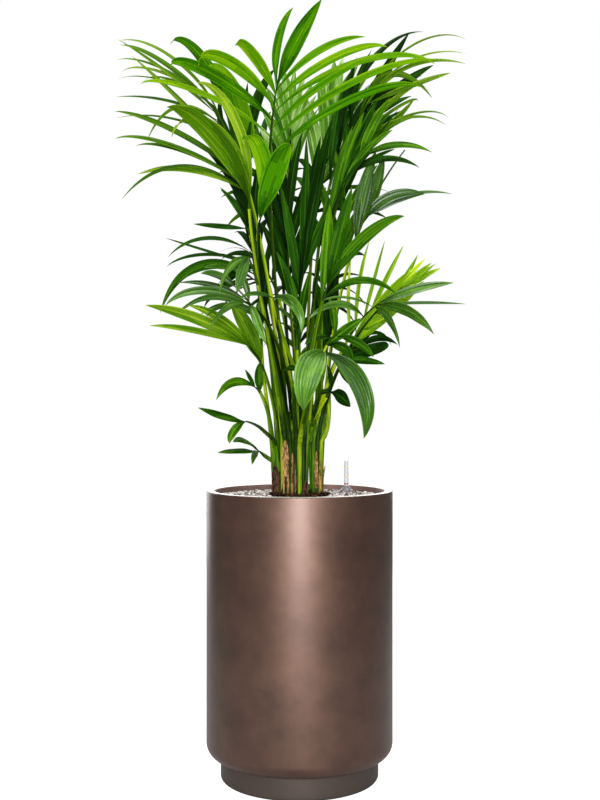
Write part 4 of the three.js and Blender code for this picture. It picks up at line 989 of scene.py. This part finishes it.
def gauge():
    """The water gauge: a flared base and tube, two yellow marks and a red float."""
    clear = plain("clear_plastic", (196, 198, 204), 0.18, coat=0.4)
    smoky = plain("smoky_plastic", (120, 116, 122), 0.2, coat=0.4)
    mark = plain("gauge_mark", (232, 196, 70), 0.4)
    red = plain("gauge_float", (178, 62, 34), 0.35)
    foot = PEBBLE_TOP + CLEARANCE
    neck = foot + GAUGE_BASE_HEIGHT
    wide, slim = GAUGE_BASE_RADIUS, GAUGE_TUBE_RADIUS
    gauge_part("foot", [(GAUGE_HUB, foot), (wide, foot), (wide, foot + 3), (wide * 0.78, foot + 5),
                        (wide * 0.55, foot + 8), (GAUGE_NECK_RADIUS, neck), (GAUGE_HUB, neck)],
               smoky, ["gauge_base"], 40)
    gauge_part("column", [(GAUGE_HUB, neck), (slim, neck), (slim, GAUGE_TOP - 1),
                          (slim - 1, GAUGE_TOP), (GAUGE_HUB, GAUGE_TOP)], clear, ["gauge_tube"])
    for name, low, depth, paint in (("low", 21, 1.6, mark), ("high", 40, 1.4, mark),
                                    ("float", 2.5, 3, red)):
        low += neck
        gauge_part(name, [(slim - 0.5, low), (slim + 0.25, low),
                          (slim + 0.25, low + depth), (slim - 0.5, low + depth)], paint)


# ---- stems ----

# Sheath finishes: dark and light of their streaks, as screen colours, and how fine the
# streaks are along the sheath for their width.
SHEATHS = {
    "deep": ((8, 22, 0), (36, 68, 2), 0.06),
    "green": ((34, 68, 0), (84, 126, 6), 0.06),
    "yellow": ((82, 114, 0), (146, 168, 20), 0.06),
    "tan": ((72, 44, 22), (184, 138, 88), 0.4),
    "brown": ((14, 8, 5), (92, 62, 42), 0.4),
}
# The finish of each palm's core, then of its petioles' sheaths by turns.
STEM_FINISH = {
    "left": ("brown", "deep", "green"),
    "front": ("deep", "green", "deep", "green", "yellow"),
    "middle": ("deep", "yellow", "deep", "green"),
    "right": ("deep", "green", "deep", "yellow"),
    "back": ("brown", "deep", "green"),
}
# Old sheaths that have dried on each palm: finish, azimuth and half width in degrees, bottom,
# top, how far off the stem, and how far the top leans out.
DRY_SHEATHS = {
    "front": (
        ("tan", -104, 27, 630, 708, 1.6, 1.5), ("tan", -118, 10, 592, 640, 2.2, 0),
        ("tan", -82, 9, 592, 642, 2.2, 0.5), ("tan", -42, 13, 590, 678, 1.8, 1),
        ("brown", 170, 30, 590, 640, 1.5, 2),
    ),
    "middle": (
        ("tan", -160, 14, 590, 660, 1.6, 1), ("brown", -60, 24, 590, 622, 1.4, 1),
    ),
    "right": (
        ("tan", -90, 12, 604, 682, 1.8, 2.5), ("tan", -62, 9, 590, 664, 1.8, 2),
        ("tan", -15, 18, 592, 650, 1.6, 4),
    ),
    "left": (
        ("brown", -115, 40, 590, 652, 3.4, 1), ("tan", -62, 12, 596, 640, 3.4, 1),
        ("brown", 150, 40, 590, 646, 1.6, 3),
    ),
    "back": (
        ("tan", 80, 50, 600, 700, 1.6, 2), ("brown", 20, 30, 592, 660, 1.6, 2),
    ),
}
DRY_ROWS, DRY_COLUMNS, DRY_DEPTH = 16, 10, 0.8
SHEATH_SIDES, SHEATH_LEVELS = 14, 24
SHEATH_RADIUS = 5.2
SHEATH_RELIEF = 0.07  # as a share of its radius
CLASP = (15, 130)  # how far up its petiole a sheath may clasp it
CLASP_SEED = 900
SHEATH_FOOT = MOUND_TOP - 4


def streaked(name, dark, light, fineness):
    """Fibrous sheath: streaks that run up it, in colour and in relief."""
    made, shader, nodes = material(name, Roughness=0.6, Specular_IOR_Level=0.12)
    fibres = clouds(nodes, (1, 1, fineness), Scale=300, Detail=4)
    tinted(nodes, shader, fibres, (0.36, linear(dark)), (0.66, linear(light)))
    embossed(nodes, shader, fibres, 0.6, 0.001)
    return made


def dry_sheath(palm, azimuth, half_width, bottom, top, off, lean):
    """An old sheath: a thin strip round a stem, with a ragged tapering top."""
    x, y, radius, _ = PALMS[palm]
    s = np.linspace(0, TIP_FROM, DRY_ROWS + 1)[:, None]
    u = np.linspace(-1, 1, DRY_COLUMNS + 1)[None, :]
    width = (0.72 + 0.28 * np.sin(pi * s)) * np.sqrt(np.clip(1 - s**6, 0, 1))
    ragged = 1 + 0.12 * np.sin(23 * s + azimuth) + 0.07 * np.sin(51 * s + half_width)
    angle = np.radians(azimuth + half_width * u * width * ragged)
    reach = radius + off + lean * s**3 + 0.5 * np.sin(7 * s + 5 * u + azimuth)
    height = bottom + (top - bottom) * s + 1.5 * np.sin(9 * u + azimuth) * s
    height = np.broadcast_to(height, angle.shape)
    outer = np.stack([x + reach * np.cos(angle), y + reach * np.sin(angle), height], axis=-1)
    inner = outer - np.stack([np.cos(angle), np.sin(angle), 0 * angle], axis=-1) * DRY_DEPTH
    end = radians(azimuth)
    tip = np.array([x + (radius + off + lean) * cos(end),
                    y + (radius + off + lean) * sin(end), top])
    return closed_blade(outer, inner, tip)[:2]


def clasping(frond, palm, levels):
    """The line and radii of a petiole's sheath, from the soil to where it lets go."""
    x, y, radius, _ = PALMS[palm]
    foot = frond.foot
    out = np.array([foot[0] - x, foot[1] - y, 0.0])
    reach = np.linalg.norm(out)
    out /= reach
    away = radius * 0.66 + (reach - radius * 0.66) * levels**1.5
    line = np.stack([x + out[0] * away, y + out[1] * away,
                     SHEATH_FOOT + (foot[2] - SHEATH_FOOT) * levels], axis=1)
    stalk, stalk_radii = rod_line(frond)
    clasp = seeded(frond.seed + CLASP_SEED)() * (CLASP[1] - CLASP[0]) + CLASP[0]
    rows = max(3, int(np.sum(stalk[:, 2] < foot[2] + clasp)))
    loose = np.linspace(1.1, 0.9, rows - 1)
    taper = [np.full(SHEATH_LEVELS, SHEATH_RADIUS), stalk_radii[1:rows] * loose]
    return np.concatenate([line, stalk[1:rows]]), np.concatenate(taper)


def stem(palm, grown, finishes):
    """A palm's stem: its petioles' sheaths, side by side round a core, in relief."""
    x, y, radius, top = PALMS[palm]
    core, *turns = STEM_FINISH[palm]
    order = list(SHEATHS)
    levels = np.linspace(0, 1, SHEATH_LEVELS)
    line = np.stack([x + 0 * levels, y + 0 * levels,
                     SHEATH_FOOT + (top - 2 - SHEATH_FOOT) * levels], axis=1)
    radii = radius * (0.94 - 0.5 * levels**2) + 2.5 * (1 - smoothstep(0, 0.16, levels))
    sheaths = [(line, radii, core)]
    for index, frond in enumerate([frond for frond in grown if frond.palm == palm]):
        if hypot(frond.foot[0] - x, frond.foot[1] - y) > 1:
            sheaths.append((*clasping(frond, palm, levels), turns[index % len(turns)]))
    made = Bundle()
    for line, radii, finish in sheaths:
        points, faces = tube(line, radii, SHEATH_SIDES)
        relief = [1 + SHEATH_RELIEF * noise.noise(Vector((p[0] * 0.5, p[1] * 0.5, p[2] * 0.03)))
                  for p in points]
        centres = np.repeat(line, SHEATH_SIDES, axis=0)
        points = centres + (points - centres) * np.array(relief)[:, None]
        made.add(points, faces, [order.index(finish)] * len(faces))
    for finish, *shape in DRY_SHEATHS[palm]:
        points, faces = dry_sheath(palm, *shape)
        made.add(points, faces, [order.index(finish)] * len(faces))
    made.piece(f"sheaths_{palm}", finishes, "stem", [f"stem_{palm}"])


# ---- stage ----

FLOOR_RADIUS = 9  # metres, as are all the places here
FLOOR_SIDES = 96
ROOM_LIGHT = 0.18

# Each light: place, height of its aim, width, depth and power.
LIGHTS = {
    "front": ((0.02, -2.9, 1), 0.6, 0.64, 0.9, 88),
    "key": ((0.5, -2.7, 2.9), 1.1, 1.2, 1.2, 45),
    "left": ((-2.2, -1, 2.8), 1.2, 1, 1, 30),
    "right": ((2.2, -1, 2.8), 1.2, 1, 1, 10),
    "top": ((0, 0.2, 3.6), 0.9, 2, 2, 60),
    "behind": ((0, 3, 1.4), 1, 3, 2, 40),
    "edge": ((-1.5, 2.6, 0.8), 0.5, 0.7, 1.4, 11),
}


def floor():
    """A pale floor that throws light up, and that the camera sees as white."""
    made, shader, nodes = material("pale_floor", Base_Color=(0.45, 0.45, 0.45, 1), Roughness=0.8,
                                   Emission_Color=(1, 1, 1, 1))
    join(nodes.new("ShaderNodeLightPath"), "Is Camera Ray", shader, "Emission Strength")
    bpy.ops.mesh.primitive_circle_add(vertices=FLOOR_SIDES, radius=FLOOR_RADIUS, fill_type="NGON")
    disc = bpy.context.object
    disc.name = "pale_floor"
    disc.data.materials.append(made)


def world():
    """White where the camera sees it, and a soft light to the rest."""
    made = bpy.data.worlds.new("studio")
    made.use_nodes = True
    nodes = made.node_tree.nodes
    room = put(nodes["Background"], Color=(1, 1, 1, 1), Strength=ROOM_LIGHT)
    white = put(nodes.new("ShaderNodeBackground"), Color=(1, 1, 1, 1))
    mix = nodes.new("ShaderNodeMixShader")
    join(nodes.new("ShaderNodeLightPath"), "Is Camera Ray", mix, "Fac")
    join(room, "Background", mix, 1)
    join(white, "Background", mix, 2)
    join(mix, "Shader", nodes["World Output"], "Surface")
    bpy.context.scene.world = made


def lights():
    for name, (place, aim, width, depth, power) in LIGHTS.items():
        data = bpy.data.lights.new(name, "AREA")
        data.shape = "RECTANGLE"
        data.size, data.size_y = width, depth
        data.energy = power
        thing = placed(name, data)
        thing.location = place
        thing.visible_camera = False
        heading = Vector((0, 0, aim)) - Vector(place)
        thing.rotation_euler = heading.to_track_quat("-Z", "Y").to_euler()


# ---- the plant ----

grown = grow()
for frond in grown:
    frond_blades(frond)
    frond_stalk(frond)
sheaths = [streaked(f"sheath_{name}", *colours) for name, colours in SHEATHS.items()]
for palm in PALMS:
    stem(palm, grown, sheaths)
planter()
soil()
pebbles()
gauge()
floor()
world()
lights()
bpy.context.scene.view_settings.view_transform = "Standard"
bpy.context.scene.view_settings.look = "None"
